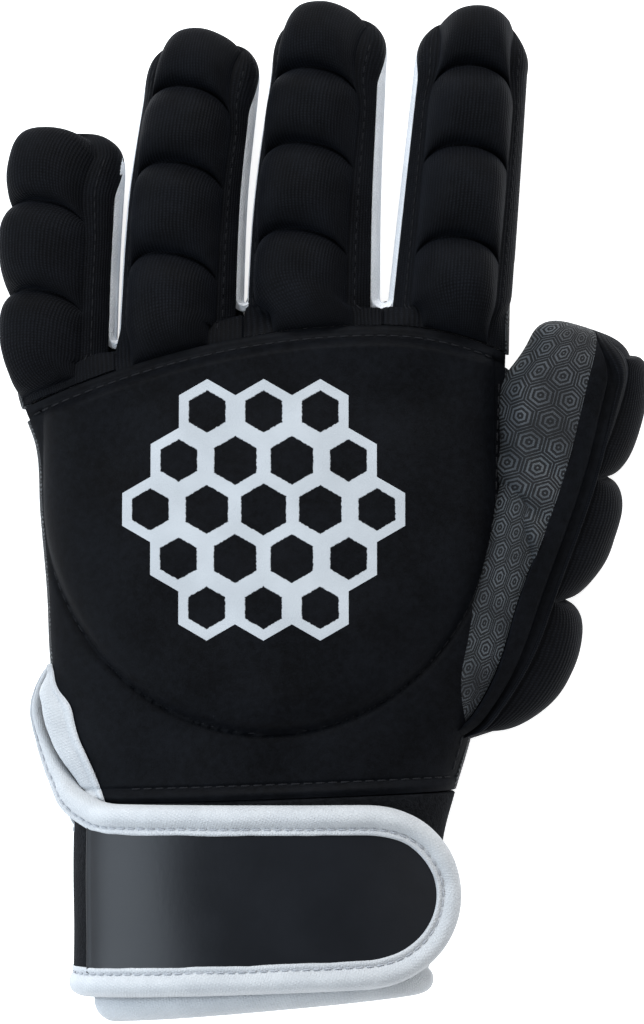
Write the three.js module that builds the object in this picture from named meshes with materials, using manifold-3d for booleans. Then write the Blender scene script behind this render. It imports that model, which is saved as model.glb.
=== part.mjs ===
// A padded field hockey glove for the left hand, lying on its palm, fingers towards +Y and thumb at +X.
// Every panel is a wall of cloth with the hand's hollow inside it. Millimetres, +Z up.

import * as THREE from 'three';
import { mergeVertices } from 'three/addons/utils/BufferGeometryUtils.js';
import Module from 'manifold-3d';

const wasm = await Module();
wasm.setup();

const { clamp, lerp, degToRad } = THREE.MathUtils;
const ease = THREE.MathUtils.smoothstep;

// Walls and the gap left at a sewn edge
const GAP = 0.3;
const BACK_WALL = 2.4;
const PALM_WALL = 2.0;
const SIDE_WALL = 1.5;
const WRIST_WALL = 2.4;
const STRAP_WALL = 3.0;
const TAPE_WALL = 0.9;
const FACE_WALL = 0.9;
const SEAM_GAP_DEG = 1.1; // half the gap between panels, as an angle of the section

// The group is moved by this much so that the origin is under the middle of the glove
const CENTRE_SHIFT = { x: -1.8, y: 0 };

// The hand's section at each y: left and right edge, height, and how far the wrist is off the floor
const HAND = [
  { y: -122, left: -49.4, right: 23.6, tall: 33.8, low: 2.3 },
  { y: -112, left: -49.8, right: 24.4, tall: 34.6, low: 2.3 },
  { y: -95, left: -50.4, right: 26.2, tall: 35.0, low: 1.5 },
  { y: -76, left: -52.0, right: 28.6, tall: 35.0, low: 0.5 },
  { y: -66, left: -54.8, right: 31.2, tall: 34.5, low: 0 },
  { y: -53, left: -60.5, right: 35.0, tall: 33.5, low: 0 },
  { y: -37, left: -63.7, right: 38.4, tall: 32.0, low: 0 },
  { y: -18, left: -64.8, right: 41.6, tall: 29.8, low: 0 },
  { y: 0, left: -66.4, right: 43.0, tall: 27.0, low: 0 },
  { y: 15, left: -67.4, right: 43.4, tall: 24.0, low: 0 },
  { y: 28, left: -71.0, right: 43.9, tall: 21.5, low: 0 },
  { y: 50, left: -72.5, right: 44.4, tall: 20.0, low: 0 },
];
const HAND_TOP_POWER = 2.2;
const HAND_BOTTOM_POWER = 3.2;
const FLAT_SINK = 0.8; // the section reaches this far under the floor before it is pressed flat

// The knuckle seam, an arch over the roots of the fingers
const KNUCKLE = { x: 14, y: 43.6, leftFall: 0.00275, rightFall: 0.0075 };

// The foam dome under the back of the hand
const DOME = { x: -12.5, y: 4, halfWidth: 53, halfLength: 55.5, rise: 4.6, shoulder: 0.3, seamFade: 5 };

// The slit on the little finger's side of the wrist
const SLIT = { top: -37, bottom: -50, backDeg: 154, palmDeg: 185, flare: 3.2 };
const HAND_SEAM = { leftDeg: 170, rightDeg: 10 };

// Cuff, strap and their tapes
const WRIST = {
  seamLeft: -68.4,
  seamRight: -65.2,
  endLeft: -118.6,
  endRight: -112.6,
  backDeg: 150,
  palmDeg: 188,
};
const STRAP = {
  startDeg: 199,
  liftDeg: 152,
  leaveX: 8,
  endX: 31.8,
  top: -69.2,
  bottomLeft: -113.6,
  bottomRight: -110.4,
  endRadius: 23,
  clearance: 0.7,
  droop: 0.26,
};
const TAPE = { width: 7, bulge: 0.5, corner: 1.2 };
const FACE = { inset: 7.6, lift: 0.25, left: -53.6 };

// The fingers from their root at the knuckle seam to the tip. `w` runs along the stall, `c` across it.
const FINGERS = {
  little: {
    rows: [
      { y: 25, c: -60.6, half: 11.9, tall: 17.0 },
      { y: 58, c: -60.0, half: 12.3, tall: 16.5 },
      { y: 84, c: -58.8, half: 12.7, tall: 15.5 },
    ],
    tip: 88.6,
    rootLeft: -72.6,
    rootRight: -48.6,
    webRight: 41,
    rollDeg: -22,
    padHalf: 10.4,
    pads: [
      { from: 30, to: 52.4, rise: 6.6 },
      { from: 52.4, to: 73.4, rise: 6.8 },
      { from: 73.4, to: 90.4, rise: 6.4 },
    ],
  },
  ring: {
    rows: [
      { y: 36, c: -33.5, half: 14.8, tall: 18.5 },
      { y: 73, c: -31.7, half: 14.2, tall: 18.0 },
      { y: 100, c: -28.4, half: 13.6, tall: 16.5 },
    ],
    tip: 109.8,
    rootLeft: -48.6,
    rootRight: -18.6,
    webLeft: 41,
    webRight: 50,
    rollDeg: -13,
    padHalf: 10.8,
    pads: [
      { from: 37, to: 60.8, rise: 7.0 },
      { from: 60.8, to: 82.2, rise: 7.2 },
      { from: 82.2, to: 99.8, rise: 7.0 },
      { from: 99.8, to: 112.6, rise: 6.8 },
    ],
  },
  middle: {
    rows: [
      { y: 42, c: -2.2, half: 15.9, tall: 18.8 },
      { y: 73, c: -1.1, half: 15.1, tall: 18.5 },
      { y: 104, c: 1.6, half: 13.6, tall: 17.0 },
    ],
    tip: 115.8,
    rootLeft: -18.6,
    rootRight: 14.3,
    webLeft: 50,
    webRight: 50.5,
    rollDeg: -14,
    padHalf: 11.0,
    pads: [
      { from: 42, to: 66.4, rise: 7.0 },
      { from: 66.4, to: 86.8, rise: 7.2 },
      { from: 86.8, to: 104.4, rise: 7.0 },
      { from: 104.4, to: 118.6, rise: 7.4 },
    ],
  },
  index: {
    rows: [
      { y: 41, c: 29.4, half: 14.8, tall: 18.5 },
      { y: 73, c: 32.3, half: 14.2, tall: 18.0 },
      { y: 103, c: 35.0, half: 13.5, tall: 16.5 },
    ],
    tip: 115.0,
    rootLeft: 14.3,
    rootRight: 43.9,
    webLeft: 50.5,
    rollDeg: 2,
    padHalf: 10.4,
    pads: [
      { from: 42, to: 64.6, rise: 7.0 },
      { from: 64.6, to: 86.2, rise: 7.2 },
      { from: 86.2, to: 104.8, rise: 7.0 },
      { from: 104.8, to: 117.8, rise: 7.2 },
    ],
  },
};
const NOSE = 12; // length of a fingertip's rounded end
const NOSE_TRAVEL = 17; // the same end measured along the cloth
const FINGER_SAG = 3.0; // a groove between pads bows this far towards the tip
const FINGER_POWER = 2.6;
const BACK_SEAM_DEG = 23; // the back's seams, above the widest line, before the finger rolls
const PALM_SEAM_DEG = 25; // the palm's seams, below it
const OUTER_SEAM_DEG = 8; // where the back meets the palm with no side strip between

// The thumb lies beside the hand. `y` runs along its length and `c` across, in a frame turned by leanDeg.
const THUMB = {
  leanDeg: 18,
  rows: [
    { y: -52, c: 39.5, half: 13.4, tall: 25.0 },
    { y: -42, c: 42.4, half: 13.4, tall: 25.6 },
    { y: -18, c: 46.7, half: 13.2, tall: 26.0 },
    { y: 0, c: 47.7, half: 13.0, tall: 26.0 },
    { y: 26, c: 48.4, half: 13.0, tall: 25.4 },
    { y: 50, c: 46.8, half: 12.9, tall: 24.4 },
  ],
  tip: 60.6,
  rollDeg: 102,
  padHalf: 11.4,
  pads: [
    { from: -36, to: -1.6, rise: 8.0 },
    { from: -1.6, to: 29, rise: 6.4 },
    { from: 29, to: 57.5, rise: 5.2 },
  ],
  sag: 1.5,
  backDeg: [-72, 43],
  sideEndDeg: 79,
  narrowAt: -34,
  narrowDeg: 63,
};
const THUMB_POWER = 2.2;
const THUMB_LIFT = 0.3;

// Colours and finishes, one per cloth
const CLOTH = {
  knit: { color: 0x14161b, roughness: 0.85 },
  neoprene: { color: 0x15171d, roughness: 0.75 },
  white: { color: 0xe6e7ee, roughness: 0.9 },
  grip: { color: 0x3a3f45, roughness: 0.55 },
  loop: { color: 0x101114, roughness: 0.95 },
  gloss: { color: 0x1d2026, roughness: 0.35 },
};

// A column of a table at y, on a smooth curve through its rows
function along(table, column, y) {
  const last = table.length - 1;
  if (y <= table[0].y) return table[0][column];
  if (y >= table[last].y) return table[last][column];
  const i = table.findIndex((row, k) => y < table[k + 1].y);
  const slope = (k) => {
    const before = table[Math.max(k - 1, 0)];
    const after = table[Math.min(k + 1, last)];
    return (after[column] - before[column]) / (after.y - before.y);
  };
  const span = table[i + 1].y - table[i].y;
  const t = (y - table[i].y) / span;
  const rise = table[i + 1][column] - table[i][column];
  const start = span * slope(i);
  const end = span * slope(i + 1);
  const [square, cube] = [3 * rise - 2 * start - end, start + end - 2 * rise];
  return table[i][column] + t * (start + t * (square + t * cube));
}

const UP = new THREE.Vector3(0, 0, 1);
const spread = (from, to, count) =>
  Array.from({ length: count }, (_, i) => lerp(from, to, i / (count - 1)));
const signedPower = (value, power) => Math.sign(value) * Math.abs(value) ** power;

// A closed body: doubled points are joined, empty triangles dropped and the faces turned outwards
function closedBody(points, triangles) {
  const loose = new THREE.BufferGeometry().setFromPoints(points);
  loose.setIndex(triangles);
  const merged = mergeVertices(loose, 1e-4);
  const index = merged.index.array;
  const position = merged.attributes.position;
  const corner = [new THREE.Vector3(), new THREE.Vector3(), new THREE.Vector3()];
  const kept = [];
  let volume = 0;
  for (let i = 0; i < index.length; i += 3) {
    const [a, b, c] = [index[i], index[i + 1], index[i + 2]];
    if (a === b || b === c || a === c) continue;
    [a, b, c].forEach((n, k) => corner[k].fromBufferAttribute(position, n));
    volume += corner[0].dot(corner[1].clone().cross(corner[2]));
    kept.push(a, b, c);
  }
  if (volume < 0) kept.reverse();
  merged.setIndex(kept);
  return merged;
}

// A wall of cloth between two grids of points, closed round its edges
function wall(outer, inner) {
  const rows = outer.length;
  const columns = outer[0].length;
  const out = (r, c) => r * columns + c;
  const into = (r, c) => (rows + r) * columns + c;
  const triangles = [];
  const quad = (a, b, c, d) => triangles.push(a, b, c, a, c, d);
  for (let r = 0; r < rows - 1; r++) {
    for (let c = 0; c < columns - 1; c++) {
      quad(out(r, c), out(r, c + 1), out(r + 1, c + 1), out(r + 1, c));
      quad(into(r, c), into(r + 1, c), into(r + 1, c + 1), into(r, c + 1));
    }
    quad(out(r, 0), out(r + 1, 0), into(r + 1, 0), into(r, 0));
    quad(out(r, columns - 1), into(r, columns - 1), into(r + 1, columns - 1), out(r + 1, columns - 1));
  }
  for (let c = 0; c < columns - 1; c++) {
    quad(out(0, c), into(0, c), into(0, c + 1), out(0, c + 1));
    quad(out(rows - 1, c), out(rows - 1, c + 1), into(rows - 1, c + 1), into(rows - 1, c));
  }
  return closedBody([...outer.flat(), ...inner.flat()], triangles);
}

// A solid through closed rings of points, with a fan over each end
function plug(rings) {
  const count = rings[0].length;
  const points = rings.flat();
  const triangles = [];
  for (let r = 0; r < rings.length - 1; r++) {
    for (let c = 0; c < count; c++) {
      const [a, b] = [r * count + c, r * count + ((c + 1) % count)];
      triangles.push(a, b, b + count, a, b + count, a + count);
    }
  }
  for (const [r, turned] of [[0, true], [rings.length - 1, false]]) {
    const middle = points.length;
    points.push(rings[r].reduce((sum, p) => sum.add(p), new THREE.Vector3()).divideScalar(count));
    for (let c = 0; c < count; c++) {
      const [a, b] = [r * count + c, r * count + ((c + 1) % count)];
      triangles.push(...(turned ? [middle, b, a] : [middle, a, b]));
    }
  }
  return closedBody(points, triangles);
}

// Solids for cutting and joining, and back again
function toSolid(geometry) {
  const vertProperties = new Float32Array(geometry.attributes.position.array);
  const triVerts = new Uint32Array(geometry.index.array);
  return new wasm.Manifold(new wasm.Mesh({ numProp: 3, vertProperties, triVerts }));
}

function toGeometry(solid) {
  const mesh = solid.getMesh();
  const geometry = new THREE.BufferGeometry();
  geometry.setAttribute('position', new THREE.BufferAttribute(new Float32Array(mesh.vertProperties), 3));
  geometry.setIndex(new THREE.BufferAttribute(new Uint32Array(mesh.triVerts), 1));
  return geometry;
}

// Only the largest body of a cut is cloth; crumbs left beside it are dropped
function cut(geometry, ...tools) {
  const left = tools.reduce((solid, tool) => solid.subtract(toSolid(tool)), toSolid(geometry));
  const bodies = left.decompose();
  return toGeometry(bodies.reduce((big, body) => (body.volume() > big.volume() ? body : big)));
}

const join = (geometries) => toGeometry(geometries.map(toSolid).reduce((all, one) => all.add(one)));

function knuckleY(x) {
  const away = x - KNUCKLE.x;
  return KNUCKLE.y - (away < 0 ? KNUCKLE.leftFall : KNUCKLE.rightFall) * away * away;
}

// How far the foam lifts the back of the hand at a place
function domeRise(x, y) {
  const across = (x - DOME.x) / DOME.halfWidth;
  const down = (y - DOME.y) / DOME.halfLength;
  const inside = 1 - across * across - (y < DOME.y ? down * down : 0);
  const edge = 1 - clamp(inside / DOME.shoulder, 0, 1);
  const front = ease(knuckleY(x) - y, 0, DOME.seamFade);
  return DOME.rise * Math.sqrt(1 - edge * edge) * front * (0.8 + 0.2 * clamp(inside, 0, 1));
}

// A point of the hand's section: clock angle 0 at the thumb's side, 90 on top, 180 at the other side
function handPoint(y, clock, inset = 0) {
  const left = along(HAND, 'left', y);
  const right = along(HAND, 'right', y);
  const low = along(HAND, 'low', y);
  const middle = (along(HAND, 'tall', y) + low) / 2;
  const angle = degToRad(clock);
  const up = Math.sin(angle);
  const power = up > 0 ? HAND_TOP_POWER : HAND_BOTTOM_POWER;
  const half = (right - left) / 2 - inset;
  const x = (left + right) / 2 + half * signedPower(Math.cos(angle), 2 / power);
  const reach = middle - low - inset + (up > 0 ? 0 : FLAT_SINK);
  return new THREE.Vector3(x, y, Math.max(low + inset, middle + reach * signedPower(up, 2 / power)));
}

// The clock angle at which the hand's section passes x, between two angles on one side of it
function handClock(x, y, from, to) {
  let [start, end] = [from, to];
  const rising = handPoint(y, to).x > handPoint(y, from).x;
  for (let pass = 0; pass < 24; pass++) {
    const mid = (start + end) / 2;
    if (handPoint(y, mid).x < x === rising) start = mid;
    else end = mid;
  }
  return (start + end) / 2;
}

// A hand panel's rows run between two lines that depend on x
function handGrid(rows, clocks, yAt, inset, lift) {
  return rows.map((share) =>
    clocks(share).map((clock, i, all) => {
      let point = handPoint(yAt(share, 0), clock, inset);
      for (let pass = 0; pass < 2; pass++) point = handPoint(yAt(share, point.x), clock, inset);
      return lift ? lift(point, i / (all.length - 1)) : point;
    }),
  );
}

const wristSeamY = (x) => lerp(WRIST.seamLeft, WRIST.seamRight, clamp((x + 57) / 88, 0, 1));
const slitShare = (y) => 1 - ease(y, SLIT.bottom, SLIT.top);

const HAND_ROWS = [0, 0.04, 0.1, 0.2, 0.32, 0.43, 0.53, 0.62, 0.7, 0.75, 0.8, 0.85, 0.9, 0.95, 1];

function handBackGrids() {
  const yAt = (share, x) => lerp(knuckleY(x) - GAP / 2, wristSeamY(x) + GAP / 2, share);
  const clocks = (share) => {
    const left = lerp(HAND_SEAM.leftDeg, SLIT.backDeg, slitShare(yAt(share, -57)));
    return spread(HAND_SEAM.rightDeg + SEAM_GAP_DEG / 2, left - SEAM_GAP_DEG / 2, 15);
  };
  const raise = (point) => point.setZ(point.z + domeRise(point.x, point.y));
  return [handGrid(HAND_ROWS, clocks, yAt, 0, raise), handGrid(HAND_ROWS, clocks, yAt, BACK_WALL)];
}

function handPalmGrids() {
  const yAt = (share, x) => lerp(knuckleY(x) - GAP / 2, wristSeamY(x) + GAP / 2, share);
  const clocks = (share) => {
    const left = lerp(HAND_SEAM.leftDeg, SLIT.palmDeg, slitShare(yAt(share, -57)));
    const right = HAND_SEAM.rightDeg + 360;
    const shares = [0, 0.07, 0.15, 0.26, 0.38, 0.62, 0.74, 0.85, 0.93, 1];
    return shares.map((part) => lerp(left + SEAM_GAP_DEG / 2, right - SEAM_GAP_DEG / 2, part));
  };
  // Below the slit's top the free edge stands out from the wrist
  const flare = (point, part) => {
    const below = slitShare(point.y) * ease(point.y, WRIST.seamLeft - 4, SLIT.bottom);
    return point.setX(point.x - SLIT.flare * below * (1 - ease(part, 0, 0.2)));
  };
  return [handGrid(HAND_ROWS, clocks, yAt, 0, flare), handGrid(HAND_ROWS, clocks, yAt, PALM_WALL, flare)];
}

// A place along a stall: how far its section has turned over the tip, its place and its half sizes
function station(stall, q, inset) {
  const bend = stall.tip - NOSE;
  const turn = clamp((q - bend) / NOSE_TRAVEL, 0, 1) * (Math.PI / 2);
  const w = Math.min(q, bend) + (NOSE - inset) * Math.sin(turn);
  const shrink = Math.cos(turn) ** 0.7;
  return {
    turn,
    w,
    c: along(stall.rows, 'c', Math.min(q, bend)) + (w - Math.min(q, bend)) * drift(stall),
    half: (along(stall.rows, 'half', w) - inset) * shrink,
    middle: along(stall.rows, 'tall', w) / 2,
    reach: (along(stall.rows, 'tall', w) / 2 - inset) * shrink,
  };
}

function drift(stall) {
  const [before, last] = stall.rows.slice(-2);
  return (last.c - before.c) / (last.y - before.y);
}

// A point on a finger or the thumb, before pads: its frame is turned by leanDeg about Z
function stallPoint(stall, q, clock, inset = 0) {
  const at = station(stall, q, inset);
  const power = stall === THUMB ? THUMB_POWER : FINGER_POWER;
  const angle = degToRad(clock);
  const up = Math.sin(angle);
  const across = at.c + at.half * signedPower(Math.cos(angle), 2 / power);
  const pressed = up < 0 && stall !== THUMB ? FLAT_SINK * Math.cos(at.turn) : 0;
  const z = Math.max(inset, at.middle + (at.reach + pressed) * signedPower(up, 2 / power));
  const lean = degToRad(stall.leanDeg ?? 0);
  const lift = stall === THUMB ? THUMB_LIFT : 0;
  return new THREE.Vector3(
    at.w * Math.sin(lean) + across * Math.cos(lean),
    at.w * Math.cos(lean) - across * Math.sin(lean),
    z + lift,
  );
}

// The directions out of a pad and along its stall
function padFrame(stall) {
  const roll = degToRad(stall.rollDeg);
  const lean = degToRad(stall.leanDeg ?? 0);
  return {
    out: new THREE.Vector3(Math.sin(roll), 0, Math.cos(roll)).applyAxisAngle(UP, -lean),
    forward: new THREE.Vector3(0, 1, 0).applyAxisAngle(UP, -lean),
  };
}

// The clock angle at which a share of the pad's half width is reached, found by halving
function padClock(stall, q, share, low, high) {
  const roll = degToRad(stall.rollDeg);
  const at = station(stall, q, 0);
  const power = stall === THUMB ? THUMB_POWER : FINGER_POWER;
  const sideways = (clock) => {
    const angle = degToRad(clock);
    const x = at.half * signedPower(Math.cos(angle), 2 / power);
    const z = at.reach * signedPower(Math.sin(angle), 2 / power);
    return x * Math.cos(roll) - z * Math.sin(roll);
  };
  const wanted = share * Math.min(stall.padHalf, sideways(low) * 0.93, -sideways(high) * 0.93);
  let [from, to] = [low, high];
  for (let pass = 0; pass < 24; pass++) {
    const mid = (from + to) / 2;
    if (sideways(mid) > wanted) from = mid;
    else to = mid;
  }
  return (from + to) / 2;
}

const domed = (share) => (1 - Math.min(1, Math.abs(share)) ** 2.6) ** 0.45;

function padRise(stall, q, share) {
  const pad = stall.pads.find((one) => q >= one.from && q <= one.to);
  if (!pad) return 0;
  return pad.rise * domed((2 * q - pad.from - pad.to) / (pad.to - pad.from)) * domed(share);
}

// Rows of a padded panel: the grooves, and four rows over each pad
function padRows(stall, start) {
  const shares = [-1, -0.86, -0.45, 0.45, 0.86];
  const rows = stall.pads.flatMap(({ from, to }) => shares.map((s) => lerp(from, to, (s + 1) / 2)));
  const bend = stall.tip - NOSE;
  const nose = [0.28, 0.48, 0.66, 0.81, 0.92, 1].map((share) => bend + share * NOSE_TRAVEL);
  return [start, ...rows.filter((q) => q > start + 0.5 && q < nose[0] - 0.8), ...nose];
}

// The seams of a finger's panels, which all run to the widest line at the tip
function fingerSeams(finger, q) {
  const { turn } = station(finger, q, 0);
  const body = 1 - ease(turn, 0.2, 1.1);
  const roll = finger.rollDeg;
  const rightBack = finger.webRight ? BACK_SEAM_DEG : OUTER_SEAM_DEG;
  const leftBack = finger.webLeft ? BACK_SEAM_DEG : OUTER_SEAM_DEG;
  const rightPalm = finger.webRight ? -PALM_SEAM_DEG : OUTER_SEAM_DEG;
  const leftPalm = finger.webLeft ? -PALM_SEAM_DEG : OUTER_SEAM_DEG;
  return {
    backRight: (rightBack - roll * 0.8) * body,
    backLeft: 180 - (leftBack + roll * 0.8) * body,
    palmRight: (finger.webRight ? rightPalm : rightBack - roll * 0.8) * body,
    palmLeft: 180 - (finger.webLeft ? leftPalm : leftBack + roll * 0.8) * body,
  };
}

// A finger's panel near its root, where the tube opens out into the hand's section. Share 1 is on the right.
function rootFlow(finger, q, start, point, share, inset, isBack, grow) {
  const margin = isBack ? GAP / 2 : -0.4;
  const [leftX, rightX] = [finger.rootLeft + margin, finger.rootRight - margin];
  const clockOf = (x, isOuter, outerClock) => {
    if (isOuter) return outerClock;
    return isBack ? handClock(x, knuckleY(x), 0, 180) : handClock(x, knuckleY(x), 360, 180);
  };
  const room = (isBack ? 1 : -1) * (SEAM_GAP_DEG / 2 - 4 * grow);
  const low = clockOf(rightX, !finger.webRight, HAND_SEAM.rightDeg + room + (isBack ? 0 : 360));
  const high = clockOf(leftX, !finger.webLeft, HAND_SEAM.leftDeg - room);
  const clock = lerp(high, low, share);
  const web = lerp(finger.webLeft ?? finger.webRight, finger.webRight ?? finger.webLeft, share);
  const { x } = handPoint(knuckleY(point.x), clock, inset);
  const seam = handPoint(knuckleY(x) + q - start + (isBack ? GAP / 2 : -3), clock, inset);
  const reach = web - knuckleY(x);
  const flow = 1 - ease(q - start, reach * (isBack ? 0.2 : 0.7), reach * 1.15 + (isBack ? 0 : 3));
  return point.clone().lerp(seam, flow);
}

function makeFingerBack(finger, grow = 0) {
  const { out, forward } = padFrame(finger);
  const middleX = (finger.rootLeft + finger.rootRight) / 2;
  const start = knuckleY(middleX) + GAP / 2 - grow;
  const columns = [-1, -0.9, -0.55, 0, 0.55, 0.9, 1];
  const grid = (isOuter) =>
    padRows(finger, start).map((q) => {
      const seams = fingerSeams(finger, q);
      const gap = SEAM_GAP_DEG * (1 - 4 * grow);
      const [low, high] = [seams.backRight + gap, seams.backLeft - gap];
      const inner = columns.map((share) => padClock(finger, q, -share, low, high));
      const clocks = [low, (low + inner[0]) / 2, ...inner, (high + inner.at(-1)) / 2, high];
      const shares = [1.2, 1.1, ...columns.map((share) => -share), -1.1, -1.2];
      const { turn, half } = station(finger, q, 0);
      return clocks.map((clock, i) => {
        const rooted = 1 - ease(q, start, start + 14);
        const sag = FINGER_SAG * Math.min(shares[i] ** 2, 1.2);
        const bow = -sag - drift(finger) * shares[i] * half * 0.8;
        const flat = stallPoint(finger, q, clock, 0);
        const seamed = knuckleY(flat.x) - knuckleY(middleX);
        const row = q + lerp(bow, seamed, rooted) * Math.cos(turn);
        const inset = isOuter ? -grow : BACK_WALL + grow;
        const share = (high - clock) / (high - low);
        const tube = stallPoint(finger, row, clock, inset);
        const point = rootFlow(finger, q, start, tube, share, inset, true, grow);
        if (isOuter) {
          const rise = padRise(finger, q, shares[i]);
          point.addScaledVector(out, rise * Math.cos(turn * 0.9));
          point.addScaledVector(forward, rise * Math.sin(turn * 0.9));
        }
        return point.addScaledVector(out, GAP / 2);
      });
    });
  return wall(grid(true), grid(false));
}

// The palm's own part of a finger, flat on the floor and turned up at its sides
function makeFingerFront(finger, grow = 0) {
  const middleX = (finger.rootLeft + finger.rootRight) / 2;
  const start = knuckleY(middleX) - 3;
  const bend = finger.tip - NOSE;
  const root = [0, 4, 8, 14].map((past) => start + past);
  const nose = [0, 6, 11, 14.5, NOSE_TRAVEL].map((past) => bend + past);
  const rows = [...root, lerp(start, bend, 0.6), ...nose];
  const parts = [0, 0.12, 0.25, 0.5, 0.75, 0.88, 1];
  const grid = (isOuter) =>
    rows.map((q) => {
      const { turn } = station(finger, q, 0);
      const seams = fingerSeams(finger, q);
      const gap = SEAM_GAP_DEG * (1 - 4 * grow);
      const [from, to] = [seams.palmLeft + gap, 360 + seams.palmRight - gap];
      return parts.map((part) => {
        const clock = lerp(from, to, part);
        const flat = stallPoint(finger, q, clock, 0);
        const seamed = knuckleY(flat.x) - knuckleY(middleX);
        const row = q + seamed * (1 - ease(q, start, start + 14)) * Math.cos(turn);
        const inset = isOuter ? -grow : PALM_WALL + grow;
        const tube = stallPoint(finger, row, clock, inset);
        const point = rootFlow(finger, q, start, tube, part, Math.max(inset, 0), false, grow);
        return point.setZ(Math.max(isOuter ? -grow : 0, point.z - GAP / 2));
      });
    });
  return wall(grid(true), grid(false));
}

// The white strip between two fingers: down one side, round the web and up the other
function makeFourchette(left, right) {
  const parts = [0, 0.35, 0.7, 1];
  const side = (finger, q, isRight, inset) => {
    const seams = fingerSeams(finger, q);
    const top = isRight ? seams.backRight - SEAM_GAP_DEG : seams.backLeft + SEAM_GAP_DEG;
    const foot = isRight ? seams.palmRight + SEAM_GAP_DEG : seams.palmLeft - SEAM_GAP_DEG;
    return parts.map((part) => stallPoint(finger, q, lerp(top, foot, part), inset));
  };
  const stations = (finger, web) => {
    const bend = finger.tip - NOSE;
    return [...spread(web, bend, 5), bend + 5, bend + 8.5];
  };
  const grid = (inset) => {
    const down = stations(left, left.webRight).reverse().map((q) => side(left, q, true, inset));
    const up = stations(right, right.webLeft).map((q) => side(right, q, false, inset));
    const [a, b] = [down.at(-1), up[0]];
    const webX = (stallPoint(left, left.webRight, 0).x + stallPoint(right, right.webLeft, 180).x) / 2;
    const round = [0.25, 0.5, 0.75].map((share) => {
      const angle = Math.PI * (1 + share);
      return a.map((p, i) => {
        const reach = lerp(webX - p.x, b[i].x - webX, share);
        return new THREE.Vector3(
          webX + reach * Math.cos(angle),
          lerp(p.y, b[i].y, share) + reach * Math.sin(angle),
          lerp(p.z, b[i].z, share),
        );
      });
    });
    return [...down, ...round, ...up];
  };
  const strip = wall(grid(0), grid(SIDE_WALL));
  const room = GAP * 1.3;
  return cut(strip, ...[left, right].flatMap((f) => [makeFingerBack(f, room), makeFingerFront(f, room)]));
}

// Seams of the thumb's three panels, which run to the two ends of the pad's plane at the tip
function thumbSeams(q) {
  const { turn } = station(THUMB, q, 0);
  const body = 1 - ease(turn, 0.2, 1.15);
  const [low, high] = [-THUMB.rollDeg, 180 - THUMB.rollDeg];
  const narrow = ease(q, THUMB.narrowAt, THUMB.narrowAt + 30);
  return {
    backLow: lerp(low, THUMB.backDeg[0], body),
    backHigh: lerp(high, THUMB.backDeg[1], body),
    sideHigh: lerp(high, lerp(THUMB.narrowDeg, THUMB.sideEndDeg, narrow), body),
    frontEnd: lerp(low, THUMB.backDeg[0], body) + 360,
  };
}

const THUMB_START = -50;
function thumbSag(q, share) {
  return q - THUMB.sag * Math.min(share ** 2, 1.1) * Math.cos(station(THUMB, q, 0).turn);
}

function makeThumbBack() {
  const { out, forward } = padFrame(THUMB);
  const columns = [-1, -0.88, -0.5, 0, 0.5, 0.88, 1];
  const grid = (isOuter) =>
    padRows(THUMB, THUMB_START).map((q) => {
      const seams = thumbSeams(q);
      const [low, high] = [seams.backLow + SEAM_GAP_DEG, seams.backHigh - SEAM_GAP_DEG];
      const inner = columns.map((share) => padClock(THUMB, q, -share, low, high));
      const clocks = [low, ...inner, high];
      const shares = [1.1, ...columns.map((share) => -share), -1.1];
      const { turn } = station(THUMB, q, 0);
      return clocks.map((clock, i) => {
        const point = stallPoint(THUMB, thumbSag(q, shares[i]), clock, isOuter ? 0 : BACK_WALL);
        if (isOuter) {
          const rise = padRise(THUMB, q, shares[i]);
          point.addScaledVector(out, rise * Math.cos(turn * 0.9));
          point.addScaledVector(forward, rise * Math.sin(turn * 0.9));
        }
        return point.addScaledVector(out, GAP / 2);
      });
    });
  return wall(grid(true), grid(false));
}

function makeThumbSide() {
  const grid = (inset) =>
    padRows(THUMB, THUMB_START)
      .slice(0, -3)
      .map((q) => {
        const seams = thumbSeams(q);
        return spread(seams.backHigh + SEAM_GAP_DEG, seams.sideHigh - SEAM_GAP_DEG, 4).map((clock) =>
          stallPoint(THUMB, thumbSag(q, 1.1), clock, inset),
        );
      });
  return wall(grid(0), grid(SIDE_WALL));
}

function makeThumbFront() {
  const { out } = padFrame(THUMB);
  const grid = (inset) =>
    padRows(THUMB, THUMB_START).map((q) => {
      const seams = thumbSeams(q);
      return spread(seams.sideHigh + SEAM_GAP_DEG, seams.frontEnd - SEAM_GAP_DEG, 8).map((clock) =>
        stallPoint(THUMB, thumbSag(q, 1.1), clock, inset).addScaledVector(out, -GAP / 2),
      );
    });
  return wall(grid(0), grid(PALM_WALL));
}

// The space inside the thumb, which opens into the hand
function thumbHollow() {
  const rows = [-50, -30, -10, 10, 30, THUMB.tip - NOSE, THUMB.tip - 4];
  return plug(rows.map((q) => spread(0, 330, 12).map((clock) => stallPoint(THUMB, q, clock, BACK_WALL))));
}

// The hand's outside with room for a seam, which trims the root of the thumb
const BULK_ROOM = 0.7;
function handBulk() {
  const rows = [-80, -66, -53, -37, -27, -18, -9, 0, 8, 15, 22, 28, 40, 50];
  const grow = (y, clock) => {
    const point = handPoint(y, clock, -BULK_ROOM);
    if (clock < 180) return point.setZ(point.z + domeRise(point.x, y) + GAP);
    return point.setZ(Math.max(point.z - GAP, -1));
  };
  return plug(rows.map((y) => spread(0, 350, 36).map((clock) => grow(y, clock))));
}

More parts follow.
